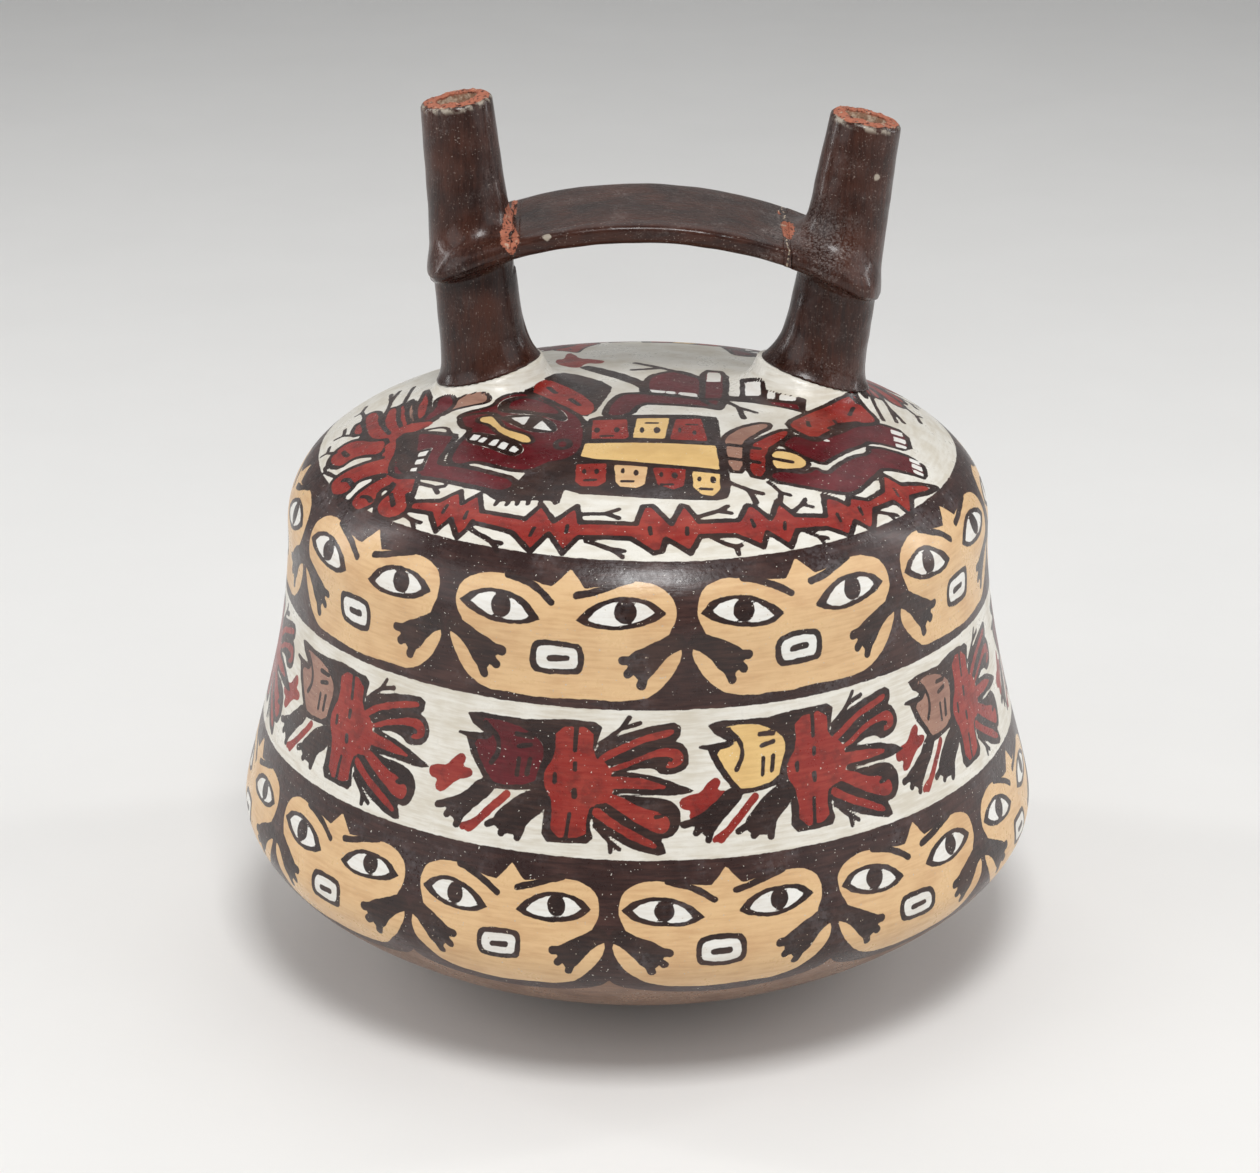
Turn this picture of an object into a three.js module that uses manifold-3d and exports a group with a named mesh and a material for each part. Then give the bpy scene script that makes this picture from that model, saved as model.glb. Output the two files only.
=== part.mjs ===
// Double spout and bridge vessel, hand built from clay without a wheel.
// A round bowl, three wall courses and a domed shoulder are stacked on stepped seats.
// Two leaning spouts pass through the dome, and a flat arched strap bridges them.
// The strap broke once at each end and was set back with clay, so it is a piece of its own.
//
// Millimetres, +Z up. The origin is the centre of the flat that the vessel rests on,
// +X points to the right spout and -Y to the painted front.
import * as THREE from 'three';
import { mergeVertices } from 'three/addons/utils/BufferGeometryUtils.js';
import Module from 'manifold-3d';

const wasm = await Module();
wasm.setup();

// Outline of the body, as radii and heights
const flatRadius = 24;
const undersideReach = 28;
const undersideLift = 6;
const bellyRadius = 85;
const bellyHeight = 36;
const bellyRoundBelow = 14.5;
const bellyRoundAbove = 7;
const shoulderRadius = 73.8;
const shoulderHeight = 98;
const wallStraight = 28;
const shoulderRise = 18.5;
const shoulderTurn = 0.6;
const domeFlat = 49;
const domeRise = 26.2;
const apexHeight = shoulderHeight + domeRise;

// Clay thickness and the heights of the seams between the courses
const wall = 5;
const bowlTop = bellyHeight - 2;
const lowerCourseTop = 58;
const middleCourseTop = 84;
const upperCourseTop = shoulderHeight + 6;

// Stepped seat: a tongue on the inside of each course stands in a step of the one above
const tongueThickness = 2;
const tongueHeight = 2;
const lapGap = 0.3;

// Spouts: how far the feet stand in from the shoulder, lean away from the middle, and length above the foot
const spoutPlaneY = 7;
const leftInset = 42;
const leftFootX = leftInset - shoulderRadius;
const leftLean = THREE.MathUtils.degToRad(-4.9);
const leftLength = 63.4;
const rightInset = 36;
const rightFootX = shoulderRadius - rightInset;
const rightLean = THREE.MathUtils.degToRad(8.5);
const rightLength = 60.8;
const spoutFootRadius = 8.6;
const spoutRimRadius = 7.2;
const boreFootRadius = 5.8;
const boreRimRadius = 4.9;
const spigotBelowWall = 1.5;
const spoutGap = 0.3;

// Clay fillet luted round each foot, tilted with the dome so that it is fuller inwards
const collarReach = 3.4;
const collarTilt = THREE.MathUtils.degToRad(9);
const collarHeight = 8;
const collarLip = 0.8;

// Bridge strap, an arc tilted a little towards the front, broken a stub away from each spout
const strapRise = 38.8;
const strapWidth = 27;
const strapThickness = 4.7;
const strapArcRadius = 90;
const strapTilt = THREE.MathUtils.degToRad(5);
const strapEdgeRound = 1.2;
const crownShift = -4.2;
const leftStub = 0.8;
const rightStub = 4.1;
const crackWidth = 1.4;

// Roots: the shelf that carries the strap round each spout, and the clay smeared up the spout
const rootReach = 0.8;
const skirtFlare = 2.2;
const skirtTilt = THREE.MathUtils.degToRad(3.5);
const skirtHeight = 16;
const skirtFoot = 5.3;
const skirtAboveCrown = 5;
const skirtTopThickness = 0.8;

// How far a cutting form runs past the piece that it cuts
const cutterReach = 60;

// Facet counts, the least step between outline points and the reach that welds two points
const bodySides = 48;
const outlineSteps = 7;
const spoutSides = 24;
const spoutSteps = 6;
const archSteps = 12;
const skirtSteps = 3;
const leastStep = 0.2;
const weldReach = 1e-4;

const darkClay = [0x3a2620, 0.35];
const creamSlip = [0xe6dccb, 0.45];
const fillClay = [0xb4694a, 0.85];

// The body outline is three curves: underside, wall, and shoulder with dome
function bodyOutline() {
  const v = (radius, height) => new THREE.Vector2(radius, height);
  const underside = new THREE.CubicBezierCurve(
    v(flatRadius, 0),
    v(flatRadius + undersideReach, undersideLift),
    v(bellyRadius, bellyHeight - bellyRoundBelow),
    v(bellyRadius, bellyHeight),
  );
  const sideWall = new THREE.CubicBezierCurve(
    v(bellyRadius, bellyHeight),
    v(bellyRadius, bellyHeight + bellyRoundAbove),
    v(shoulderRadius, shoulderHeight - wallStraight),
    v(shoulderRadius, shoulderHeight),
  );
  const dome = new THREE.CubicBezierCurve(
    v(shoulderRadius, shoulderHeight),
    v(shoulderRadius - shoulderTurn, shoulderHeight + shoulderRise),
    v(domeFlat, apexHeight),
    v(0, apexHeight),
  );
  return [underside, sideWall, dome];
}

// Points of the outline moved along its normal: outwards for a positive distance
function offsetOutline(distance, steps) {
  const points = [];
  bodyOutline().forEach((curve, part) => {
    for (let i = part === 0 ? 0 : 1; i <= steps; i += 1) {
      const at = curve.getPoint(i / steps);
      const along = curve.getTangent(i / steps);
      points.push(new THREE.Vector2(at.x + along.y * distance, at.y - along.x * distance));
    }
  });
  points[points.length - 1].x = 0;
  return points.filter((p, i) => i === 0 || p.y > points[i - 1].y);
}

const outer = offsetOutline(0, outlineSteps);
const inner = offsetOutline(-wall, outlineSteps).filter((p) => p.y > wall);

// Radius of an outline at a height, straight between its points
function radiusAt(outline, height) {
  const above = Math.max(1, outline.findIndex((p) => p.y >= height));
  const [low, high] = [outline[above - 1], outline[above]];
  return THREE.MathUtils.mapLinear(height, low.y, high.y, low.x, high.x);
}

// Height of an outline's upper part at a radius
function heightAt(outline, radius) {
  for (let i = outline.length - 1; i > 0; i -= 1) {
    const [low, high] = [outline[i - 1], outline[i]];
    if (low.x >= radius) {
      return THREE.MathUtils.mapLinear(radius, low.x, high.x, low.y, high.y);
    }
  }
  return outline[0].y;
}

// The stretch of an outline between two heights, with a point at each end
function stretch(outline, from, to) {
  const between = outline.filter((p) => p.y > from + leastStep && p.y < to - leastStep);
  const ends = [from, to].map((height) => new THREE.Vector2(radiusAt(outline, height), height));
  return [ends[0], ...between, ends[1]];
}

// Seat between two courses: the tongue's outer radius at a seam
const tongueRadius = (seam) => radiusAt(inner, seam) + tongueThickness;

// Top of a course: a flat ledge and the tongue that stands up inside it
function tongueTop(seam) {
  return [
    new THREE.Vector2(tongueRadius(seam), seam),
    new THREE.Vector2(tongueRadius(seam), seam + tongueHeight),
    new THREE.Vector2(radiusAt(inner, seam), seam + tongueHeight),
  ];
}

// Bottom of a course: the ledge, and the step that clears the tongue below it
function steppedBottom(seam) {
  const stepRadius = tongueRadius(seam) + lapGap;
  const stepTop = seam + tongueHeight + lapGap;
  return [new THREE.Vector2(stepRadius, stepTop), new THREE.Vector2(stepRadius, seam)];
}

// Solid of revolution about Z; its profile runs up the outside and down the inside
function lathe(points, sides) {
  const closed = points[0].x === 0 ? points : [...points, points[0].clone()];
  const geometry = new THREE.LatheGeometry(closed, sides);
  geometry.rotateX(Math.PI / 2);
  return geometry;
}

function bowlGeometry() {
  const outside = stretch(outer, 0, bowlTop);
  const inside = stretch(inner, inner[0].y, bowlTop).reverse();
  const floor = inner[0].y;
  return lathe([
    new THREE.Vector2(0, 0),
    ...outside,
    ...tongueTop(bowlTop),
    ...inside,
    new THREE.Vector2(0, floor),
  ], bodySides);
}

function courseGeometry(from, to) {
  const outside = stretch(outer, from, to);
  const inside = stretch(inner, from + tongueHeight + lapGap, to).reverse();
  return lathe([...outside, ...tongueTop(to), ...inside, ...steppedBottom(from)], bodySides);
}

function domeShell() {
  const outside = outer.filter((p) => p.y > upperCourseTop);
  const inside = inner.filter((p) => p.y > upperCourseTop + tongueHeight + lapGap).reverse();
  const stepTop = upperCourseTop + tongueHeight + lapGap;
  return lathe([
    new THREE.Vector2(radiusAt(outer, upperCourseTop), upperCourseTop),
    ...outside,
    ...inside,
    new THREE.Vector2(radiusAt(inner, stepTop), stepTop),
    ...steppedBottom(upperCourseTop),
  ], bodySides);
}

// Closed solid for joining and cutting, with its doubled points welded and slivers left out
function solid(geometry) {
  const bare = geometry.index ? geometry.clone() : geometry;
  bare.deleteAttribute('normal');
  bare.deleteAttribute('uv');
  const merged = mergeVertices(bare, weldReach);
  const index = merged.index.array;
  const kept = [];
  for (let i = 0; i < index.length; i += 3) {
    const [a, b, c] = [index[i], index[i + 1], index[i + 2]];
    if (a !== b && b !== c && c !== a) kept.push(a, b, c);
  }
  return new wasm.Manifold(new wasm.Mesh({
    numProp: 3,
    vertProperties: Float32Array.from(merged.attributes.position.array),
    triVerts: Uint32Array.from(kept),
  }));
}

function geometryOf(manifold) {
  const mesh = manifold.getMesh();
  const geometry = new THREE.BufferGeometry();
  geometry.setAttribute('position', new THREE.BufferAttribute(mesh.vertProperties, 3));
  geometry.setIndex(new THREE.BufferAttribute(mesh.triVerts, 1));
  return geometry;
}

// Solid of revolution about a spout's own axis, with its profile given as [radius, height]
function turned(profile, sides) {
  return lathe(profile.map(([radius, height]) => new THREE.Vector2(radius, height)), sides);
}

// Everything that the two spouts differ in; side is -1 at the left and +1 at the right
function spoutPlan(side, footX, lean, length, stub) {
  const footRadial = Math.hypot(footX, spoutPlaneY);
  const footHeight = heightAt(outer, footRadial);
  const wallBelow = wall + spigotBelowWall;
  const axisX = (height) => footX + Math.tan(lean) * (height - footHeight);
  return { side, footX, lean, length, stub, footHeight, wallBelow, axisX };
}

const left = spoutPlan(-1, leftFootX, leftLean, leftLength, leftStub);
const right = spoutPlan(1, rightFootX, rightLean, rightLength, rightStub);

// Puts a turned form on its spout's axis, with height 0 at the foot on the dome.
// A tilt turns it about a pivot on the axis, so that its foot moves towards the middle
function onAxis(plan, geometry, tilt = 0, pivot = 0) {
  geometry.translate(0, 0, -pivot);
  geometry.rotateY(plan.side * tilt);
  geometry.translate(0, 0, pivot);
  geometry.rotateY(plan.lean);
  geometry.translate(plan.footX, spoutPlaneY, plan.footHeight);
  return geometry;
}

const spoutRadius = (share) => THREE.MathUtils.lerp(spoutFootRadius, spoutRimRadius, share ** 2);

function spoutProfile(plan, growth) {
  const outside = [];
  for (let i = 0; i <= spoutSteps; i += 1) {
    const share = i / spoutSteps;
    outside.push([spoutRadius(share) + growth, share * plan.length]);
  }
  return [[spoutFootRadius + growth, -plan.wallBelow], ...outside];
}

function spoutGeometry(plan) {
  const rim = [boreRimRadius, plan.length];
  const foot = [boreFootRadius, -plan.wallBelow];
  return turned([...spoutProfile(plan, 0), rim, foot], spoutSides);
}

// The spout filled solid and a little larger, to cut its neighbours with
function spoutClearance(plan) {
  const sides = spoutProfile(plan, spoutGap);
  const top = [0, plan.length];
  const bottom = [0, -plan.wallBelow - cutterReach];
  const deepSide = [spoutFootRadius + spoutGap, bottom[1]];
  return solid(onAxis(plan, turned([bottom, deepSide, ...sides, top], spoutSides)));
}

// The whole body filled solid, its skin moved outwards by a gap
function bodyClearance(gap) {
  const skin = offsetOutline(gap, outlineSteps).filter((p) => p.y > bellyHeight);
  const points = [new THREE.Vector2(0, skin[0].y), ...skin];
  return solid(lathe(points, bodySides));
}

function shoulderDome() {
  return solid(domeShell()).subtract(spoutClearance(left)).subtract(spoutClearance(right));
}

// Concave ring of clay round a spout's foot, cut to the dome below it
function collar(plan) {
  const bottom = -collarHeight;
  const ring = [[0, bottom], [spoutFootRadius + collarReach, bottom]];
  for (let i = 0; i <= spoutSteps; i += 1) {
    const angle = (i / spoutSteps) * Math.PI / 2;
    const radius = spoutFootRadius + collarLip + (collarReach - collarLip) * (1 - Math.sin(angle));
    ring.push([radius, collarHeight * (1 - Math.cos(angle))]);
  }
  ring.push([0, collarHeight]);
  const filled = solid(onAxis(plan, turned(ring, spoutSides), collarTilt, collarHeight));
  return filled.subtract(spoutClearance(plan)).subtract(bodyClearance(spoutGap));
}

// Heights of the bridge follow the apex, and its crown lies between the two spouts
const crownHeight = apexHeight + strapRise;
const crownX = (left.axisX(crownHeight) + right.axisX(crownHeight)) / 2 + crownShift;
const crackX = (plan) => plan.axisX(crownHeight) - plan.side * (spoutFootRadius + plan.stub);
const shelfHeight = crownHeight - skirtHeight;
const rootEndX = (plan) => plan.axisX(shelfHeight) + plan.side * (spoutFootRadius + rootReach);

// Top and underside of the strap's arc at a place across the bridge
function archTop(x) {
  const sag = strapArcRadius - Math.sqrt(strapArcRadius ** 2 - (x - crownX) ** 2);
  return crownHeight - sag;
}
const archUnderside = (x) => archTop(x) - strapThickness;

// Side outline in X and Z between two lines that follow the arch, made a prism across Y
function archPrism(lower, upper, halfWidth, round) {
  const [fromX, toX] = [rootEndX(left), rootEndX(right)];
  const shape = new THREE.Shape();
  for (let i = 0; i <= archSteps; i += 1) {
    const x = THREE.MathUtils.lerp(fromX, toX, i / archSteps);
    if (i === 0) shape.moveTo(x, lower(x));
    else shape.lineTo(x, lower(x));
  }
  for (let i = archSteps; i >= 0; i -= 1) {
    const x = THREE.MathUtils.lerp(fromX, toX, i / archSteps);
    shape.lineTo(x, upper(x));
  }
  const geometry = new THREE.ExtrudeGeometry(shape, {
    depth: 2 * (halfWidth - round),
    bevelEnabled: round > 0,
    bevelThickness: round,
    bevelSize: round,
    bevelOffset: -round,
    bevelSegments: 2,
  });
  geometry.rotateX(Math.PI / 2);
  geometry.translate(0, halfWidth - round, -crownHeight);
  geometry.rotateX(strapTilt);
  geometry.translate(0, spoutPlaneY, crownHeight);
  return solid(geometry);
}

// The whole strap with worn long edges, before it is parted at the cracks
const archBar = archPrism(archUnderside, archTop, strapWidth / 2, strapEdgeRound);

// Everything above the strap's underside
const aboveArch = archPrism(archUnderside, () => crownHeight + skirtHeight, strapWidth, 0);

// Upright slab between two planes across the bridge
function slab(fromX, toX) {
  const reach = strapWidth + 2 * cutterReach;
  const geometry = new THREE.BoxGeometry(Math.abs(toX - fromX), reach, reach);
  geometry.translate((fromX + toX) / 2, spoutPlaneY, crownHeight);
  return solid(geometry);
}

const crackEnd = (plan) => crackX(plan) - plan.side * crackWidth;
const bridgeStrap = archBar.intersect(slab(crackEnd(left), crackEnd(right)));
const crackFill = (plan) => archBar.intersect(slab(crackX(plan), crackEnd(plan)));

// Clay smeared up the spout from the strap: a skirt that thins upwards
function skirt(plan) {
  const bottom = crownHeight - plan.footHeight - skirtHeight;
  const top = bottom + skirtHeight + skirtAboveCrown;
  const profile = [[0, bottom], [spoutFootRadius + skirtFlare, bottom]];
  for (let i = 0; i <= skirtSteps; i += 1) {
    const share = i / skirtSteps;
    const thinning = Math.sin(share * Math.PI / 2);
    const thickness = THREE.MathUtils.lerp(skirtFlare, skirtTopThickness, thinning);
    const inside = spoutRadius(THREE.MathUtils.lerp(bottom, top, share) / plan.length);
    profile.push([inside + thickness, THREE.MathUtils.lerp(bottom + skirtFoot, top, share)]);
  }
  profile.push([0, top]);
  return solid(onAxis(plan, turned(profile, spoutSides), skirtTilt, top));
}

// Shelf of the root in plan: half an ellipse from the crack round the spout
function shelf(plan) {
  const plane = crackX(plan);
  const shape = new THREE.Shape();
  const reach = Math.abs(rootEndX(plan) - plane) - spoutGap;
  shape.absellipse(plane, spoutPlaneY, reach, strapWidth / 2, 0, 2 * Math.PI, false, 0);
  const geometry = new THREE.ExtrudeGeometry(shape, {
    depth: 2 * skirtHeight, bevelEnabled: false, curveSegments: spoutSides / 2,
  });
  geometry.translate(0, 0, crownHeight - skirtHeight - strapThickness);
  return archBar.intersect(solid(geometry));
}

function bridgeRoot(plan) {
  const far = rootEndX(plan) + plan.side * strapWidth;
  return shelf(plan)
    .add(skirt(plan).intersect(aboveArch))
    .intersect(slab(crackX(plan), far))
    .subtract(spoutClearance(plan));
}

const vessel = new THREE.Group();

function add(name, geometry, [colour, roughness], parent = vessel) {
  const material = new THREE.MeshStandardMaterial({ color: colour, roughness, metalness: 0 });
  const mesh = new THREE.Mesh(geometry, material);
  mesh.name = name;
  parent.add(mesh);
  return mesh;
}

function addSpout(name, plan) {
  const stand = new THREE.Group();
  stand.position.set(plan.footX, spoutPlaneY, plan.footHeight);
  stand.rotation.y = plan.lean;
  vessel.add(stand);
  add(name, spoutGeometry(plan), darkClay, stand);
}

add('base_bowl', bowlGeometry(), darkClay);
add('lower_wall_course', courseGeometry(bowlTop, lowerCourseTop), creamSlip);
add('middle_wall_course', courseGeometry(lowerCourseTop, middleCourseTop), creamSlip);
add('upper_wall_course', courseGeometry(middleCourseTop, upperCourseTop), darkClay);
add('shoulder_dome', geometryOf(shoulderDome()), creamSlip);
[['left', left], ['right', right]].forEach(([name, plan]) => {
  addSpout(`${name}_spout`, plan);
  add(`${name}_spout_collar`, geometryOf(collar(plan)), darkClay);
  add(`${name}_bridge_root`, geometryOf(bridgeRoot(plan)), darkClay);
  add(`${name}_crack_fill`, geometryOf(crackFill(plan)), fillClay);
});
add('bridge_strap', geometryOf(bridgeStrap), darkClay);

export default vessel;
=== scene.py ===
import bpy
import numpy as np
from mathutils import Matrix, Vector


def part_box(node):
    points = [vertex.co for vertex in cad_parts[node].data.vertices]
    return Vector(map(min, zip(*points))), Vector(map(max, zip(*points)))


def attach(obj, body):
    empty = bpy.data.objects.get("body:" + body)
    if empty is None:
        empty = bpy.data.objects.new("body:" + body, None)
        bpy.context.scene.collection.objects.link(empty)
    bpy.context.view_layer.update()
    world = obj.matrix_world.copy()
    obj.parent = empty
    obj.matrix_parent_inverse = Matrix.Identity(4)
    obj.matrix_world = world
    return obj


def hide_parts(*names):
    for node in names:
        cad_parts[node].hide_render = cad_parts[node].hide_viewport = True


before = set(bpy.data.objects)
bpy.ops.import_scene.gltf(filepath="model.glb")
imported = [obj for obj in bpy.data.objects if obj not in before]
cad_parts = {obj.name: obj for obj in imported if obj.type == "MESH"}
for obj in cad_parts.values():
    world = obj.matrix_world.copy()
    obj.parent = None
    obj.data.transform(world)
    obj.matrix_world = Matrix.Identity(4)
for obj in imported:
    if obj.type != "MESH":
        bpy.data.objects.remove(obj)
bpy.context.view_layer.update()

# Every shape below is worked out in millimetres and scaled once, when its mesh is made
MM = 0.001

# Body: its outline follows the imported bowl, courses and dome
BELLY_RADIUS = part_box("lower_wall_course")[1].x / MM
APEX_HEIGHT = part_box("shoulder_dome")[1].z / MM
BOWL_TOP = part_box("lower_wall_course")[0].z / MM
LOWER_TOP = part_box("middle_wall_course")[0].z / MM
MIDDLE_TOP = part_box("upper_wall_course")[0].z / MM
UPPER_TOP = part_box("shoulder_dome")[0].z / MM
BELLY_HEIGHT = BOWL_TOP + 2
FLAT_RADIUS = 24
SHOULDER_RADIUS = 73.8
SHOULDER_HEIGHT = UPPER_TOP - 6
WALL = 5
# Control points of the outline's three cubic curves, as radius and height
UNDERSIDE = ((FLAT_RADIUS, 0), (52, 6), (BELLY_RADIUS, BELLY_HEIGHT - 14.5), (BELLY_RADIUS, BELLY_HEIGHT))
SIDE_WALL = (
    (BELLY_RADIUS, BELLY_HEIGHT),
    (BELLY_RADIUS, BELLY_HEIGHT + 7),
    (SHOULDER_RADIUS, SHOULDER_HEIGHT - 28),
    (SHOULDER_RADIUS, SHOULDER_HEIGHT),
)
DOME = (
    (SHOULDER_RADIUS, SHOULDER_HEIGHT),
    (SHOULDER_RADIUS - 0.6, SHOULDER_HEIGHT + 18.5),
    (49, APEX_HEIGHT),
    (0, APEX_HEIGHT),
)
# How finely the outline is worked out and the meshes are cut
OUTLINE_STEPS = 400
SPOKES = 1040
SKIN_STEP = 0.45
DOME_CELLS = 300
INSIDE_ROWS = 6
UNDERSIDE_ROWS = 18
FLOOR_RISE = 3
SPOUT_COLUMNS = 168

# Spouts: radii of the clay and the bore, and how far a spout reaches down through the dome's hole
SPOUT_Y = 7
FOOT_RADIUS = 8.6
RIM_RADIUS = 7.2
BORE_FOOT = 5.8
BORE_RIM = 4.9
SPIGOT = 6.5
# Each spout: place of its foot, lean and length, how far the bridge's root reaches inwards and outwards
# from it, the fillet over the root on the inner side, and how far its foot flares towards the middle
LEFT = {
    "side": -1, "foot": -31.8, "lean": np.radians(-4.9), "length": 63.4,
    "stub": 0.8, "outer": 7.6, "fillet": 3.0, "flare": 3.4, "rim_seed": 31,
}
RIGHT = {
    "side": 1, "foot": 37.8, "lean": np.radians(8.5), "length": 60.8,
    "stub": 4.1, "outer": 5.0, "fillet": 5.5, "flare": 5.4, "rim_seed": 47,
}
# The worn rim: its slant, wear and crumbs, the edge's rounding, the mouth and the crust just inside it
RIM_SLANT = 0.9
RIM_WEAR = 0.35
RIM_CRUMBS = 0.08
RIM_ROUND = 0.9
RIM_ROUND_HEIGHT = 1.1
MOUTH_INSET = 0.5
MOUTH_WAVE = 0.22
CRUST_END = 0.1
# Rows over the rim as shares from its outer to its inner edge, how high it bulges and crumbles, and the
# rows down the bore, crowded towards the rim, with the bore's unevenness
RIM_SHARES = (0.12, 0.3, 0.5, 0.7, 0.88, 1.0)
RIM_BULGE = 0.25
RIM_CRUMBLE = 0.16
BORE_ROWS = 33
BORE_CROWDING = 1.7
BORE_WAVE = 0.12

# Bridge: a flat strap on an arc, tilted a little towards the front
STRAP_RISE = 38.8
STRAP_WIDTH = 27
STRAP_THICKNESS = 4.7
STRAP_ARC = 90
STRAP_REACH = 60
STRAP_TILT = np.radians(5)
STRAP_EDGE = 2.0
STRAP_POWER = 5.5
STRAP_SEED = 200
STRAP_WAVE = 0.12
STRAP_WIDTH_WAVE = 0.012
SECTION_STEPS = 4001
ROOT_POWER = 4.5
CROWN_SHIFT = -4.2
CRACK_WIDTH = 1.4
CROWN = APEX_HEIGHT + STRAP_RISE

# The dome's unevenness fades out within this radius, and its inner wall stops so far short of the apex
EVEN_TOP_RADIUS = 40
INNER_APEX_GAP = 8

# Clay round a foot: how far and how high it stands out, what the inner side adds, and the least height used
FLARE_REACH = 3
FLARE_HEIGHT = 6
FLARE_INNER_HEIGHT = 4.5
FLARE_LEAST = 0.5
# Height above the dome at which the dark slip ends, what the inner side adds, and how the cream clay
# falls off
SLIP_EDGE = 3.3
SLIP_EDGE_RISE = 3.3
SLIP_EDGE_POWER = 1.3
FILLET_DECAY = 2.2
# The drawing climbs the clay drawn up round a foot by so much of its height, and stops where that is steep
PAINT_CLIMB = 2.4
PLAIN_ABOVE = 3.6
PLAIN_SLOPE = 3

# Noise: sines in an octave, how much shorter and weaker the next octave is, and the sum that counts as 1
OCTAVE_SINES = 4
OCTAVE_SHRINK = 1.9
OCTAVE_FADE = 0.55
WAVE_SUM = 3.4


# Outlines and noise

def bezier(points, share):
    """Cubic curve through two ends: each share t weighs the four points by the cubic Bernstein terms."""
    p = np.asarray(points, float)
    t = np.asarray(share, float)[:, None]
    return (1 - t) ** 3 * p[0] + 3 * (1 - t) ** 2 * t * p[1] + 3 * (1 - t) * t**2 * p[2] + t**3 * p[3]


def body_outline():
    """Radius, height and arc length of the body's skin from the flat to the apex; the arc is 0 at the
    belly."""
    share = np.linspace(0, 1, OUTLINE_STEPS)
    parts = [bezier(curve, share) for curve in (UNDERSIDE, SIDE_WALL, DOME)]
    outline = np.concatenate([parts[0][:-1], parts[1][:-1], parts[2]])
    radius, height = outline.T
    arc = np.concatenate([[0], np.cumsum(np.hypot(np.diff(radius), np.diff(height)))])
    arc -= np.interp(BELLY_HEIGHT, height, arc)
    return radius, height, arc


OUT_RADIUS, OUT_HEIGHT, OUT_ARC = body_outline()
APEX_ARC = OUT_ARC[-1]


def skin_at(arc):
    """Radius and height of the skin at an arc length."""
    return np.interp(arc, OUT_ARC, OUT_RADIUS), np.interp(arc, OUT_ARC, OUT_HEIGHT)


def arc_of(height):
    return np.interp(height, OUT_HEIGHT, OUT_ARC)


def dome_height(x, y):
    """Height of the dome over a place in plan."""
    top = OUT_HEIGHT > SHOULDER_HEIGHT
    return np.interp(np.hypot(x, y), OUT_RADIUS[top][::-1], OUT_HEIGHT[top][::-1])


def waves(x, y, seed, size, octaves=3):
    """Smooth noise near -1 to 1: a sum of sines whose directions, lengths and phases come from the seed,
    where each octave is shorter and weaker than the one before."""
    pick = np.random.default_rng(seed)
    total = 0.0
    for octave in range(octaves):
        for _ in range(OCTAVE_SINES):
            angle, phase = pick.uniform(0, 2 * np.pi, 2)
            length = size / OCTAVE_SHRINK**octave * pick.uniform(0.8, 1.25)
            total = total + OCTAVE_FADE**octave * np.sin(
                2 * np.pi * (x * np.cos(angle) + y * np.sin(angle)) / length + phase
            )
    return total / WAVE_SUM


def hand_waves(theta, height):
    """Slight unevenness of the hand-built wall, in millimetres: a few sines round the body and up it."""
    return (
        0.10 * np.sin(3 * theta + 1.1)
        + 0.07 * np.sin(5 * theta + height / 17)
        + 0.05 * np.sin(9 * theta - height / 9 + 0.7)
        + 0.03 * np.sin(17 * theta + height / 6)
    )


# Painting: each colour is a signed distance in millimetres on the skin, positive where the colour lies

PAINTS = ("ground", "tan", "pink", "red", "maroon", "ochre", "white", "line", "bare")
# Distances are cut off at FAR, colours run under the dark lines by BLEED, and the wall is unrolled from a
# circle of radius UNROLL
FAR = 3.0
BLEED = 0.2
UNROLL = 80


class Sheet:
    """Skin points with flat coordinates u, v in millimetres, and one signed distance for each paint."""

    def __init__(self, u, v, paints=None):
        self.u, self.v = u, v
        self.paints = {name: np.full(u.shape, -FAR) for name in PAINTS} if paints is None else paints


def smooth_line(points, closed, rounds=2):
    """Cuts the corners of an outline: every stretch gives points at its quarter and three quarters."""
    p = np.asarray(points, float)
    for _ in range(rounds):
        after = np.roll(p, -1, axis=0) if closed else p[1:]
        before = p if closed else p[:-1]
        cut = np.stack([0.75 * before + 0.25 * after, 0.25 * before + 0.75 * after], 1).reshape(-1, 2)
        p = cut if closed else np.concatenate([p[:1], cut, p[-1:]])
    return p


def stretches(points, closed):
    p = np.asarray(points, float)
    return list(zip(p, np.roll(p, -1, axis=0))) if closed else list(zip(p[:-1], p[1:]))


def edge_distance(u, v, points, closed):
    """Distance to the nearest stretch: the point is dropped on each stretch, clamped to its ends."""
    nearest = np.full(u.shape, np.inf)
    for a, b in stretches(points, closed):
        run = b - a
        share = ((u - a[0]) * run[0] + (v - a[1]) * run[1]) / max(run @ run, 1e-9)
        share = np.clip(share, 0, 1)
        nearest = np.minimum(nearest, np.hypot(u - a[0] - share * run[0], v - a[1] - share * run[1]))
    return nearest


def inside(u, v, points):
    """True where a ray to the right crosses the closed outline an odd number of times."""
    odd = np.zeros(u.shape, bool)
    for a, b in stretches(points, True):
        if a[1] != b[1]:
            crosses = (a[1] > v) != (b[1] > v)
            odd ^= crosses & (u < (b[0] - a[0]) * (v - a[1]) / (b[1] - a[1]) + a[0])
    return odd


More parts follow.
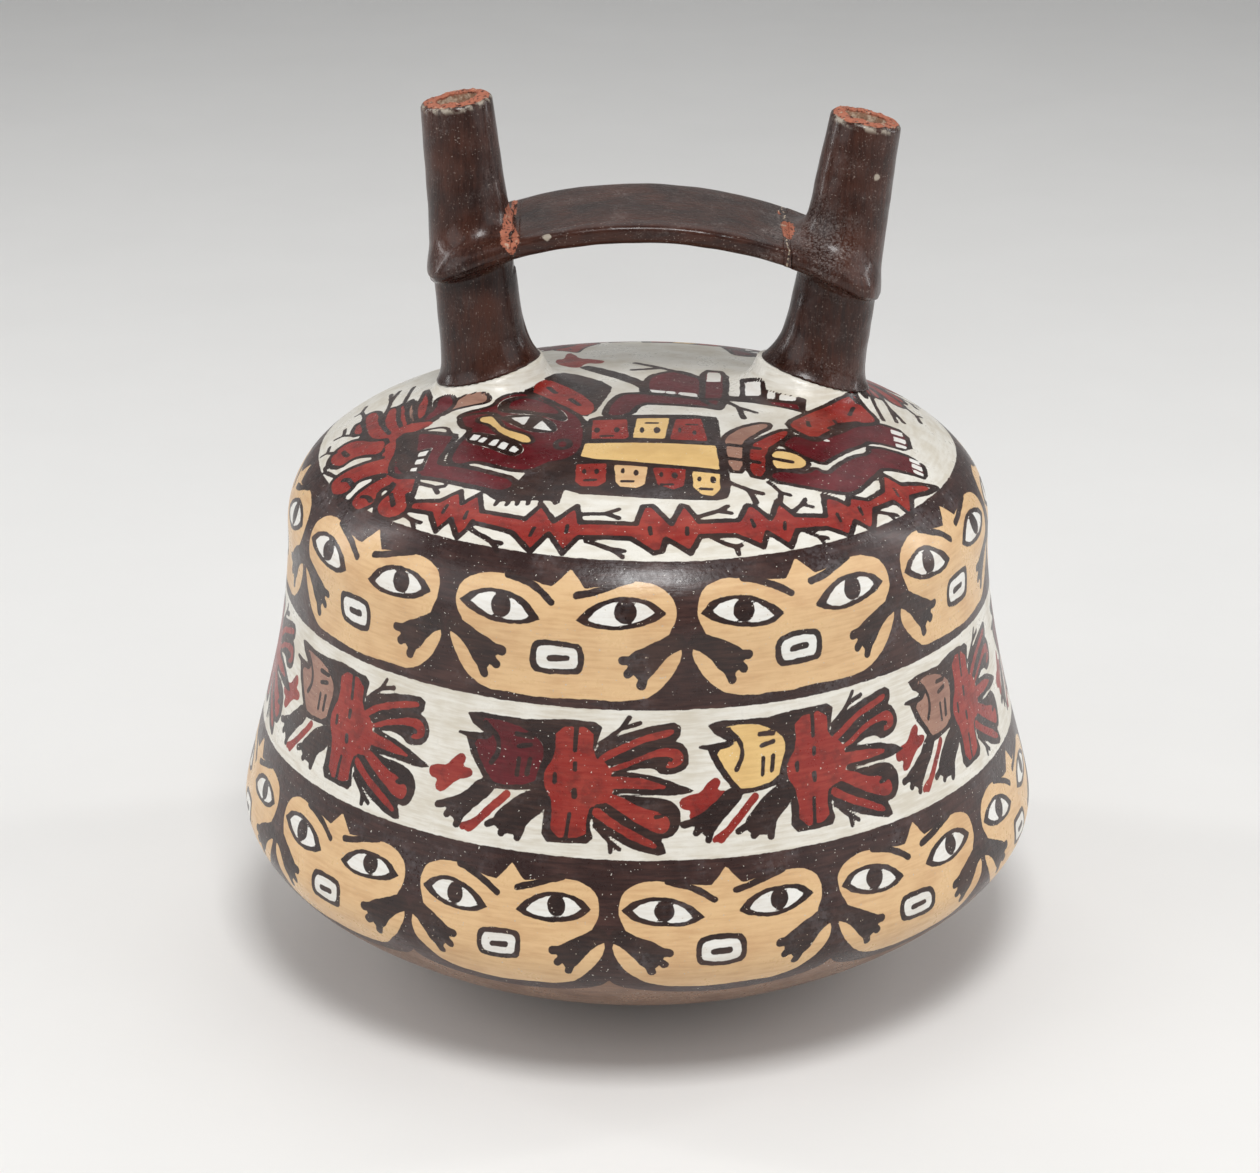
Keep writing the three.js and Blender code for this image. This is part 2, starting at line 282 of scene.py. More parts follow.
def brush(sheet, paint, points, width=None, rounds=2, cut=()):
    """Lays a filled outline, or with a width a stroke along the points, and takes it out of the paints in
    cut."""
    line = smooth_line(points, width is None, rounds) if rounds else np.asarray(points, float)
    reach = FAR + (width or 0)
    low, high = line.min(0) - reach, line.max(0) + reach
    near = np.flatnonzero(
        (sheet.u > low[0]) & (sheet.u < high[0]) & (sheet.v > low[1]) & (sheet.v < high[1])
    )
    if not len(near):
        return
    u, v = sheet.u[near], sheet.v[near]
    away = edge_distance(u, v, line, width is None)
    signed = np.where(inside(u, v, line), away, -away) if width is None else width / 2 - away
    signed = np.clip(signed, -FAR, FAR)
    if paint:
        laid = signed + (0 if paint == "line" else BLEED)
        sheet.paints[paint][near] = np.maximum(sheet.paints[paint][near], laid)
    for name in cut:
        sheet.paints[name][near] = np.minimum(sheet.paints[name][near], -signed)


def almond(left, right, top, bottom):
    """Eye outline: upper and lower lid are bows over the line between the corners."""
    share = np.linspace(0, 1, LID_STEPS)
    bow = (4 * share * (1 - share)) ** 0.75
    base = np.outer(1 - share, left) + np.outer(share, right)
    upper = base + np.outer(bow, (0, top))
    lower = base - np.outer(bow, (0, bottom))
    return np.concatenate([upper, lower[-2:0:-1]])


def disc(centre, across, down, steps=14):
    angle = np.arange(steps) * 2 * np.pi / steps
    return np.stack([centre[0] + across * np.cos(angle), centre[1] + down * np.sin(angle)], 1)


def rounded_box(centre, width, height, corner):
    """Rectangle with its corners cut once, to be rounded by the brush."""
    x, y, c = width / 2, height / 2, corner
    corners = [(x, y - c), (x, c - y), (x - c, -y), (c - x, -y), (-x, c - y), (-x, y - c), (c - x, y),
               (x - c, y)]
    return np.asarray(corners) + centre


def unrolled(sheet, centre, seed, grow=1.0, tall=1.0, base=0.0, sway=0.25):
    """The sheet seen from a motif's own place on the wall: u runs both ways from its centre, v from its
    base. Slow waves bend the copy, so that no two motifs are drawn alike."""
    u = (sheet.u - centre + np.pi * UNROLL) % (2 * np.pi * UNROLL) - np.pi * UNROLL
    v = sheet.v - base
    bend_u = sway * waves(u, v, seed, 17, 2)
    bend_v = sway * waves(u, v, seed + 1, 17, 2)
    return Sheet((u + bend_u) / grow, (v + bend_v) / tall, sheet.paints)


# An eye: points along a lid, how far the lids of its dark outline and of the white stand up and down, how
# far the white's corners lie inwards and up from the outline's, and the pupil's half width and height
LID_STEPS = 9
EYE_LIDS = (3.9, 2.5)
WHITE_LIDS = (2.95, 1.7)
WHITE_INSET, WHITE_LIFT = 2.5, 0.1
PUPIL = (2.25, 2.35)


def eye(sheet, corner_in, corner_out, pupil):
    """A white almond in a dark one, with a dark pupil; the corners may come in either order."""
    left, right = sorted([corner_in, corner_out])
    brush(sheet, "line", almond(left, right, *EYE_LIDS), rounds=0)
    white_left = (left[0] + WHITE_INSET, left[1] + WHITE_LIFT)
    white_right = (right[0] - WHITE_INSET, right[1] + WHITE_LIFT)
    brush(sheet, "white", almond(white_left, white_right, *WHITE_LIDS), rounds=0, cut=("line",))
    brush(sheet, "line", disc(pupil, *PUPIL))


def painted_face(sheet, chin_drop):
    """A face with a small peak between two brows, almond eyes, a box mouth and a hand reaching in from
    each side. It is 48 mm wide and 23 mm high from its jaw; chin_drop rounds the jaw further down."""
    half = [(3.6, 21.8), (7.5, 22.4), (12, 23.2), (16.5, 23.4), (20, 22.4), (22.2, 20.6), (22.9, 18.2),
            (22.6, 15.8), (21.2, 13.4), (20.6, 11.8), (23.7, 10.6), (23.9, 8.6), (22.3, 5.4), (19.6, 2.4),
            (16.2, 0.4 - 0.3 * chin_drop), (10, 0 - 0.75 * chin_drop), (0, -chin_drop)]
    right = np.asarray(half)
    left = right[::-1] * (-1, 1)
    brush(sheet, "tan", np.concatenate([left[1:], right[:-1]]), rounds=1)
    brush(sheet, "tan", [(-2.6, 21.6), (0.9, 25.6), (4.4, 21.9), (1, 20)], rounds=0)
    brush(sheet, "line", [(-12.5, 23.4), (-8.4, 22.4), (-4.8, 20.9), (-2.0, 19.0)], 1.45)
    brush(sheet, "line", [(14, 23.9), (9.6, 22.6), (6.2, 21.4), (2.8, 20.7)], 1.45)
    eye(sheet, (-4.3, 15.4), (-22.4, 17.2), (-13, 17.1))
    eye(sheet, (2.8, 15.9), (21.2, 17.3), (12.7, 17.6))
    mouth = (-0.9, 8)
    brush(sheet, "line", rounded_box(mouth, 11, 6.9, 1.5), rounds=1)
    brush(sheet, "white", rounded_box(mouth, 8.4, 4.6, 1.0), rounds=1, cut=("line",))
    brush(sheet, "line", [(-2.5, 7.8), (0.9, 8)], 1.3, rounds=0)
    brush(sheet, "white", [(-2.2, 7.8), (0.6, 8)], 0.3, rounds=0)
    for side in (-1, 1):
        palm = [(25.5, 10.2), (23.6, 14.2), (18.6, 11.8), (14.2, 9.8), (12.7, 8.2), (14, 6), (15.8, 3.8),
                (18.2, 4.8), (20.4, 8), (23.2, 10)]
        brush(sheet, "line", np.asarray(palm) * (side, 1), rounds=1)
        for knuckle, tip in (((14.8, 8.4), (12.3, 8.1)), ((15, 6.8), (13.4, 5.4)),
                             ((16.8, 5.2), (16, 3.2))):
            brush(sheet, "line", np.asarray([knuckle, tip]) * (side, 1), 1.9)


# The head's drawing: units to a millimetre across and up, its lower middle, how much wider each side is
# on the round wall, and the slope and bow of its base line there
HEAD_UNITS = (16.5, -17.7)
HEAD_ORIGIN = (487, 920)
LEFT_STRETCH, RIGHT_STRETCH = 1.12, 1.03
HEAD_SLOPE, HEAD_BOW = 0.0637, 0.0023


def drawn(*points):
    """Points of the head's drawing in millimetres on the wall, with the base line bent to a parabola."""
    across, up = ((np.asarray(points, float) - HEAD_ORIGIN) / HEAD_UNITS).T
    u = across * np.where(across < 0, LEFT_STRETCH, RIGHT_STRETCH)
    return np.stack([u, up + HEAD_SLOPE * u - HEAD_BOW * u**2], 1)


def head_plumes(sheet):
    """Five plumes fanned out behind the head, each a dark shape with a red one inside it: a long one
    above and below, two with curled ends and a pointed one."""
    for outline, fill in (
        ([(560, 190), (590, 155), (650, 138), (740, 113), (838, 98), (832, 165), (760, 200), (600, 260),
          (550, 240)],
         [(560, 226), (620, 188), (700, 152), (780, 128), (816, 126), (808, 146), (740, 164), (690, 180),
          (612, 222), (570, 250)]),
        ([(600, 250), (700, 190), (780, 165), (835, 165), (862, 205), (862, 250), (828, 276), (775, 284),
          (745, 262), (690, 262), (620, 290)],
         [(590, 272), (640, 244), (720, 208), (780, 188), (828, 188), (846, 216), (842, 244), (815, 258),
          (782, 260), (800, 236), (770, 214), (700, 236), (640, 268)]),
        ([(600, 272), (700, 278), (790, 298), (878, 336), (870, 346), (800, 356), (700, 352), (600, 354)],
         [(580, 288), (640, 292), (720, 300), (806, 328), (720, 336), (640, 334), (580, 340)]),
        ([(600, 345), (680, 362), (760, 362), (812, 380), (832, 420), (828, 470), (802, 508), (750, 504),
          (690, 470), (580, 400)],
         [(570, 346), (640, 364), (700, 398), (752, 412), (790, 432), (800, 462), (786, 488), (752, 486),
          (700, 456), (640, 424), (570, 392)]),
        ([(545, 375), (620, 420), (700, 470), (772, 506), (788, 574), (680, 542), (600, 492), (540, 446)],
         [(548, 386), (620, 446), (700, 488), (756, 524), (758, 546), (700, 522), (610, 470),
          (540, 420)]),
    ):
        brush(sheet, "line", drawn(*outline), rounds=1)
        brush(sheet, "red", drawn(*fill), rounds=1, cut=("line",))
    for curl in (
        [(756, 262), (752, 240), (780, 224), (806, 232)],
        [(720, 384), (768, 378), (790, 404), (778, 430), (752, 432)],
        [(596, 242), (660, 212), (730, 184), (806, 168)],
        [(562, 374), (620, 414), (690, 462), (764, 508)],
    ):
        brush(sheet, "line", drawn(*curl), 0.9)


def head_band(sheet):
    """Red band of the headdress in a dark outline, wide in the middle, with dashes and two stripes."""
    edge = [(392, 82), (480, 86), (582, 98), (566, 160), (552, 226), (560, 380), (536, 440), (560, 528),
            (470, 524), (392, 516), (402, 400), (410, 352), (378, 322), (376, 264), (412, 218),
            (410, 120)]
    brush(sheet, "line", drawn(*edge), rounds=1)
    red = [(424, 108), (550, 112), (550, 220), (610, 250), (610, 380), (540, 392), (528, 440), (532, 508),
           (420, 502), (428, 380), (394, 312), (396, 270), (430, 214)]
    brush(sheet, "red", drawn(*red), rounds=1, cut=("line",))
    for dash, width in (
        (((491, 108), (490, 196)), 0.95),
        (((429, 282), (430, 306)), 1.05),
        (((492, 244), (492, 266)), 1.05),
        (((490, 336), (491, 358)), 1.05),
        (((478, 418), (470, 504)), 0.85),
    ):
        brush(sheet, "line", drawn(*dash), width)


def plumed_head(sheet, fill, mark_shift):
    """A head that faces left with an open beak, two locks of hair, a red headband, a fan of plumes and a
    red mark before it. u is measured from the middle of the headband, v is the height on the wall."""
    head = [(138, 60), (190, 60), (260, 76), (330, 88), (410, 84), (420, 200), (396, 330), (330, 338),
            (236, 334), (206, 292), (160, 210), (138, 148), (108, 134), (110, 122), (150, 130),
            (204, 138), (160, 100)]
    brush(sheet, "line", drawn(*head), rounds=0)
    face = [(182, 82), (256, 92), (326, 118), (380, 160), (394, 210), (376, 262), (370, 318), (246, 318),
            (222, 284), (182, 206), (164, 158), (224, 160), (226, 134)]
    brush(sheet, fill, drawn(*face), rounds=1, cut=("line",))
    for dash, width in (
        (((206, 100), (246, 150), (252, 200), (228, 240)), 1.05),
        (((306, 140), (352, 150)), 1.0),
        (((312, 182), (352, 178)), 0.95),
        (((316, 226), (312, 284)), 0.95),
        (((350, 228), (344, 280)), 1.05),
    ):
        brush(sheet, "line", drawn(*dash), width)
    left_lock = [(206, 286), (146, 350), (60, 380), (96, 404), (132, 462), (168, 420), (246, 345),
                 (240, 322)]
    brush(sheet, "line", drawn(*left_lock), rounds=1)
    right_lock = [(392, 326), (330, 348), (296, 374), (236, 440), (270, 486), (330, 500), (354, 450),
                  (404, 408), (414, 350)]
    brush(sheet, "line", drawn(*right_lock), rounds=1)
    for root, tip in (
        ((110, 384), (62, 390)), ((120, 396), (96, 426)), ((146, 410), (132, 462)),
        ((270, 440), (228, 460)), ((296, 452), (272, 490)), ((340, 450), (324, 506)),
    ):
        brush(sheet, "line", drawn(root, tip), 1.5)
    brush(sheet, "red", drawn((284, 352), (225, 420), (172, 474)), 1.25)
    brush(sheet, "red", drawn((190, 452), (152, 468)), 1.0)
    head_plumes(sheet)
    head_band(sheet)
    for stem, forks in (
        (((572, 176), (640, 122)), ((666, 84), (702, 104))),
        (((556, 462), (608, 516)), ((612, 552), (640, 542))),
    ):
        sprig(sheet, drawn(*stem), drawn(*forks), 1.0)
    mark = [(12, 250), (40, 240), (76, 244), (100, 212), (122, 198), (136, 220), (122, 246), (162, 260),
            (158, 282), (108, 290), (62, 338), (38, 322), (50, 290), (16, 280)]
    brush(sheet, "red", drawn(*mark) + mark_shift, rounds=1)


# Places of the motifs round the wall, as distances along the unrolled circle from the front: the edges
# between the faces of each band, then each head's middle, width, colour and how far its mark is shifted
UPPER_GAPS = [-94, -42.5, 10.3, 61.3, 111.5, 161, 210.5, 260, 309.5, 359, 2 * np.pi * UNROLL - 94]
LOWER_GAPS = [-88, -45.5, -5.5, 38, 79.5, 121.4, 163.3, 205.2, 247.1, 289, 330.9, 372.8,
              2 * np.pi * UNROLL - 88]
HEAD_PLACES = [-69, -13, 37, 84, 134, 184, 234, 284, 334, 384]
HEAD_GROWS = [1, 1, 0.96, 0.86] + [0.92] * 6
HEAD_FILLS = ["pink", "maroon", "ochre", "pink", "maroon", "ochre", "pink", "maroon", "ochre", "maroon"]
MARK_SHIFTS = [(0.6, -0.4), (0.6, -0.4), (2.6, -2.4), (1.9, -1.0)] + [(1.6, -2.0)] * 6
UPPER_EDGE = 79.4
MIDDLE_EDGE = 49.3
LOWER_EDGE = 19.6
# How far the bands' edges wander, then the underside's scallops: height between faces, drop and unevenness
EDGE_WANDER = 0.5
SCALLOP_TOP, SCALLOP_DROP, SCALLOP_WAVE = -5.2, 6.8, 0.3
# Width of a gap whose face is drawn at its own size
FACE_WIDTH = 50.3
# Each band's faces: seed, height over width, base and how far the chin hangs
UPPER_FACES = {"seed": 10, "tall": 1.0, "base": 51.3, "chin_drop": 0.0}
LOWER_FACES = {"seed": 60, "tall": 0.93, "base": -6.5, "chin_drop": 3.4}
HEAD_SEED = 120


def paint_bands(sheet):
    """Dark ground of the two bands of faces, with edges that wander a little as the hand did."""
    wander = EDGE_WANDER * waves(sheet.u, 0 * sheet.u, 5, 170, 2)
    upper = np.minimum(UPPER_EDGE + wander - sheet.v, sheet.v - MIDDLE_EDGE - 0.6 * wander)
    lower = LOWER_EDGE + 0.8 * wander - sheet.v
    sheet.paints["ground"] = np.clip(np.maximum(upper, lower), -FAR, FAR)


def bare_underside(sheet):
    """Plain clay below a scalloped edge that hangs lowest under each face of the lower band."""
    gaps = np.asarray(LOWER_GAPS)
    u = (sheet.u - gaps[0]) % (2 * np.pi * UNROLL) + gaps[0]
    number = np.clip(np.searchsorted(gaps, u) - 1, 0, len(gaps) - 2)
    share = (u - gaps[number]) / (gaps[number + 1] - gaps[number])
    drop = SCALLOP_DROP * np.sqrt(np.clip(4 * share * (1 - share), 0, 1))
    edge = SCALLOP_TOP - drop + SCALLOP_WAVE * waves(u, 0 * u, 9, 23, 2)
    sheet.paints["bare"] = np.clip(edge - sheet.v, -FAR, FAR)


def face_row(sheet, gaps, seed, tall, base, chin_drop):
    """One face in each gap of a band, as wide as the gap."""
    for number, (start, end) in enumerate(zip(gaps[:-1], gaps[1:])):
        grow = (end - start) / FACE_WIDTH
        painted_face(unrolled(sheet, (start + end) / 2, seed + 2 * number, grow, tall, base), chin_drop)


def paint_wall(sheet):
    """Both bands of faces, the band of plumed heads and the bare underside, round the whole wall."""
    paint_bands(sheet)
    bare_underside(sheet)
    face_row(sheet, UPPER_GAPS, **UPPER_FACES)
    face_row(sheet, LOWER_GAPS, **LOWER_FACES)
    heads = zip(HEAD_PLACES, HEAD_GROWS, HEAD_FILLS, MARK_SHIFTS)
    for number, (place, grow, fill, mark_shift) in enumerate(heads):
        plumed_head(unrolled(sheet, place, HEAD_SEED + 2 * number, grow, sway=0.2), fill, mark_shift)


def inked(sheet, paint, outline, width=1.15, rounds=1):
    """A filled shape with a dark line drawn round it."""
    brush(sheet, paint, outline, rounds=rounds)
    closed = smooth_line(outline, True, rounds) if rounds else np.asarray(outline, float)
    brush(sheet, "line", np.concatenate([closed, closed[:1]]), width, rounds=0)


def window(sheet, paint, outline, rounds=1):
    """A shape of another colour left open in a dark one; without a colour the slip shows."""
    brush(sheet, paint, outline, rounds=rounds, cut=[name for name in PAINTS if name != paint])


def sprig(sheet, stem, forks, width=1.1):
    """A dark twig: a stem, and short forks from the stem's last point."""
    brush(sheet, "line", stem, width)
    for fork in forks:
        brush(sheet, "line", [stem[-1], fork], width, rounds=0)


def tunic_face(sheet, paint, outline, eyes, mouth):
    """A small face on the tunic: two upright eyes and a dash for a mouth."""
    window(sheet, paint, outline, rounds=0)
    for x, y, wide, high in eyes:
        brush(sheet, "line", disc((x, y), wide, high, 8))
    brush(sheet, "line", [(mouth[0] - 1.1, mouth[1]), (mouth[0] + 1.1, mouth[1])], 0.9, rounds=0)


def tunic(sheet):
    """Dark tunic with a row of upside-down faces, an ochre belt and a row of upright faces."""
    cloth = [(-9.8, -15.6), (-2, -14.6), (16, -14.2), (16.6, -18), (16.8, -28), (17.2, -36), (18.2, -42),
             (18.3, -48), (17.6, -51.4), (9, -52.2), (-3, -51.5), (-14.4, -49.6), (-15, -44),
             (-12.4, -36), (-11, -28), (-10.6, -20)]
    brush(sheet, "line", cloth, rounds=1)
    belt = [(-10.6, -29.5), (0, -29.4), (15.6, -30), (16.2, -40.3), (5, -39), (-8.2, -36.8), (-11.4, -35.2)]
    window(sheet, "ochre", belt, rounds=0)
    rows = (
        ("red", [(-9.2, -17.6), (-2.3, -17.3), (-1.9, -26.6), (-2.6, -27.6), (-9.4, -27.2)],
         ((-8.3, -22.9, 0.65, 1.6), (-4.3, -22.9, 0.65, 1.6)), (-6.3, -26)),
        ("ochre", [(-0.2, -16.7), (6.4, -16.4), (5.3, -27.4), (-1, -26.9)],
         ((0.8, -23, 0.5, 1.6), (3.8, -23, 0.75, 1.8)), (2.8, -19.2)),
        ("red", [(7.7, -17), (12.9, -16.4), (14, -28), (6.4, -27.6)],
         ((8.4, -22.8, 0.45, 1.5), (11.4, -23.8, 0.45, 1.4)), (11, -19.8)),
        ("red", [(-12.3, -38.6), (-6.3, -38.8), (-6.4, -46), (-8, -47.6), (-11.2, -47.4), (-12.4, -45.5)],
         ((-10.7, -41.6, 0.5, 1.2), (-8.2, -41.9, 0.55, 1.3)), (-9.5, -45.2)),
        ("tan", [(-4.7, -39.3), (1.9, -40.2), (1.3, -47), (-0.4, -48.3), (-3.5, -47.8), (-4.4, -46)],
         ((-3, -41.8, 0.5, 1.3), (-0.4, -42.6, 0.55, 1.3)), (-2.1, -45.9)),
        ("red", [(2.9, -40.4), (9.5, -40.8), (9, -47.3), (7, -48.6), (3.8, -47)],
         ((4.6, -43.1, 0.45, 1.2), (7.2, -43.4, 0.65, 1.4)), (5.6, -46.9)),
        ("ochre",
         [(10.7, -41.6), (16.2, -42.1), (16.2, -47.7), (14.8, -50.2), (12.6, -49.9), (10.9, -47.5)],
         ((12.1, -44.3, 0.5, 1.3), (14.8, -44.4, 0.65, 1.5)), (13.4, -47.9)),
    )
    for paint, outline, eyes, mouth in rows:
        tunic_face(sheet, paint, outline, eyes, mouth)


def raised_arm(sheet):
    """Maroon arm over the tunic, the arched block above it, and a dark forearm with a red hand."""
    brush(sheet, "line",
          [(-12, 19.3), (-9.8, 19.6), (1.6, 7.8), (2.6, -1.2), (0.2, -1.2), (0.2, 4), (-12.9, 17.4)])
    hand = [(-15.4, 33.5), (-14, 31), (-12.9, 26.4), (-9.6, 25.4), (-7.2, 23.4), (-8, 21), (-11.4, 22.4),
            (-12.2, 18.2), (-14.6, 18.6), (-17.6, 22.6), (-17.5, 27), (-15.8, 25.6)]
    brush(sheet, "red", hand)
    arch = [(1.6, 1.8), (1.8, 8), (3, 11.4), (5.4, 13.6), (7.8, 15), (9.8, 14.2), (12, 11.6), (13.6, 9.4),
            (13.6, 2), (13.2, -3.4), (8.4, -2.4), (2.6, -0.8)]
    inked(sheet, "maroon", arch, 1.3)
    for tooth in (
        [(2.4, 1), (5.3, 0.3), (5.5, -1.1), (2.9, -0.6)],
        [(5.9, 0.2), (7.6, -0.2), (7.6, -1.9), (6, -1.2)],
        [(8.7, -0.5), (11.9, -1.1), (12.7, -3.4), (8.7, -2.2)],
    ):
        window(sheet, "white", tooth, rounds=0)
    arm = [(-6.9, -15.8), (-6.4, -9.5), (-4.6, -3.8), (-3, -1.4), (1, -1.2), (4, -2), (9.6, -3.4),
           (13.2, -4.8), (17.6, -4), (16.6, -10.4), (13, -9.2), (5, -8.2), (0.6, -7.8), (-1.6, -15)]
    inked(sheet, "maroon", arm, 1.4)
    limb = [(13.8, 16.2), (18.7, 15.2), (18.4, 0), (17.4, -9), (16.6, -11), (15.6, -8.6), (13.2, -5),
            (13.5, 2)]
    inked(sheet, "maroon", limb, 1.4)
    window(sheet, "white", [(14.8, 14.4), (17.4, 14.2), (17.3, 7.8), (14.7, 7.8)], rounds=0)
    sprig(sheet, [(13.2, 10), (8.4, 14.4), (5, 17.2)], ((-0.5, 21.4), (1.6, 16.2)), 1.5)
    brush(sheet, "line", [(1.6, 16.2), (-1.2, 15.7)], 1.4, rounds=0)


def staff(sheet):
    """Dark stepped bar behind the arm, with open squares and a maroon strip."""
    bar = [(18.4, -1.7), (21.2, -2), (21.4, 9.6), (26.4, 9.6), (26.6, 3), (30.5, 1), (35, -0.6),
           (34.8, -9), (30, -7.2), (24, -5.6), (18.6, -5)]
    brush(sheet, "line", bar, rounds=0)
    for opening in (
        [(22.4, 7.2), (25.5, 7.2), (25.5, -0.9), (22.3, -1.3)],
        [(26.9, 1.9), (28.5, 1.2), (28.4, -2.6), (26.9, -2.2)],
        [(29.4, 0.5), (33, -0.7), (32.6, -2.8), (29.4, -2.7)],
    ):
        window(sheet, "white", opening, rounds=0)
    brush(sheet, "maroon", [(27, -4), (33, -4.6), (33.6, -7.4), (28, -5.6)], rounds=0, cut=("line",))
    sprig(sheet, [(18, -5), (20.8, -8.7)], ((24.3, -11.1), (21.7, -15)), 1.3)


def loincloth(sheet):
    """Pink and red cloths behind the tunic, tied with two cords, and an ochre loop."""
    pink = [(17.1, -26), (19.5, -21.5), (22.5, -18.4), (26.4, -16.2), (27.4, -18.6), (24.6, -22.6),
            (22.2, -26.5), (21.5, -29.5), (21.4, -41), (17.6, -40.6), (17.2, -30)]
    inked(sheet, "pink", pink)
    red = [(22.2, -28.6), (26.2, -23.2), (30, -18.8), (31.6, -20.6), (29, -26), (26.2, -30.4),
           (25.9, -42.6), (21.8, -41.8), (21.9, -33)]
    inked(sheet, "red", red)
    loop = [(26.3, -30.2), (30, -29.4), (33, -30.8), (34.6, -33.6), (33.6, -36.6), (30, -38), (26.6, -38.4)]
    inked(sheet, "ochre", loop)
    brush(sheet, "line", [(26.3, -33.8), (30.8, -34.3)], 1.4)
    brush(sheet, "line", [(18.3, -29.2), (24.4, -30)], 1.4)
    brush(sheet, "line", [(18.1, -35.4), (24.2, -36.2)], 1.4)


def legs(sheet):
    """Two bent maroon legs whose white toes point right, below a red kilt that ends in a point."""
    lower = [(26, -43), (34, -43.6), (42, -42.8), (44.2, -41), (46, -38), (49, -32), (50.2, -29),
             (56.6, -27.2), (60.2, -26.2), (59.2, -19.7), (47.3, -20.2), (47.3, -24.6), (44, -27),
             (40, -33), (38, -37), (35.5, -35), (34, -38), (26.5, -38.8)]
    inked(sheet, "maroon", lower)
    upper = [(29.6, -25), (31.6, -21.6), (33.5, -22), (36.3, -23.6), (38.6, -20.4), (42, -16.4),
             (45, -11.4), (48.6, -9), (50, -6.8), (56, -7.8), (57, -17.6), (48, -18.2), (46, -21.6),
             (43, -25), (39, -31), (37.4, -33.6), (33.6, -31.6), (30.6, -29), (29, -27)]
    inked(sheet, "maroon", upper)
    for left, top, right, bottom in (
        (52.9, -8.8, 55.2, -10.7), (53.4, -12.4, 55.7, -14.3), (53.7, -15.6, 55.9, -17),
        (56.5, -20.5, 58.5, -21.7), (56.9, -22.7, 59, -24), (57.2, -25, 59.3, -26),
    ):
        window(sheet, "white", [(left, top), (right, top), (right, bottom), (left, bottom)], rounds=0)
    kilt = [(44.4, 6.4), (45.8, 6), (47.4, 1), (50, -4.4), (50, -7.4), (46, -10), (43.4, -13.2),
            (40, -16.4), (36.2, -23), (31.4, -19), (30.4, -15.4), (35, -8.6), (39, -3), (42, 2.6)]
    inked(sheet, "red", kilt)
    brush(sheet, "pink", [(44.6, 4.4), (46, 0), (45, -8), (41.6, -9), (42, -2)])
    brush(sheet, "line", [(45.8, -9.4), (42.4, -12), (39.6, -15.6)], 1.6)
    for slot in (((35, -13.4), (35.2, -16)), ((40.6, -10.6), (41.4, -13)), ((45, -1), (44, -6))):
        brush(sheet, "line", slot, 0.9)
    brush(sheet, "white", [(38, -21.8), (38.6, -22.2)], 0.8)


def diadem_peak(sheet):
    """Dark peak over the head with a red stripe."""
    diadem = [(-15, 15), (-5.2, 4.6), (-6, -2), (-9.4, -15.6), (-13.5, -14), (-17, -9), (-21, -5),
              (-24.4, 1), (-21.5, 4), (-18.5, 10.5)]
    brush(sheet, "line", diadem, rounds=1)
    stripe = [(-21.8, -0.6), (-21.4, 5), (-19, 8), (-15.6, 4.6), (-12.6, 0), (-10.4, -4.6), (-8.8, -9.6),
              (-10, -15), (-13.5, -13.6), (-17.4, -8.6), (-20.6, -4)]
    window(sheet, "red", stripe)
    brush(sheet, "line", [(-18.6, 3), (-17.2, -0.4)], 1.2)
    brush(sheet, "line", [(-14, -4.4), (-12.2, -8.4)], 1.2)


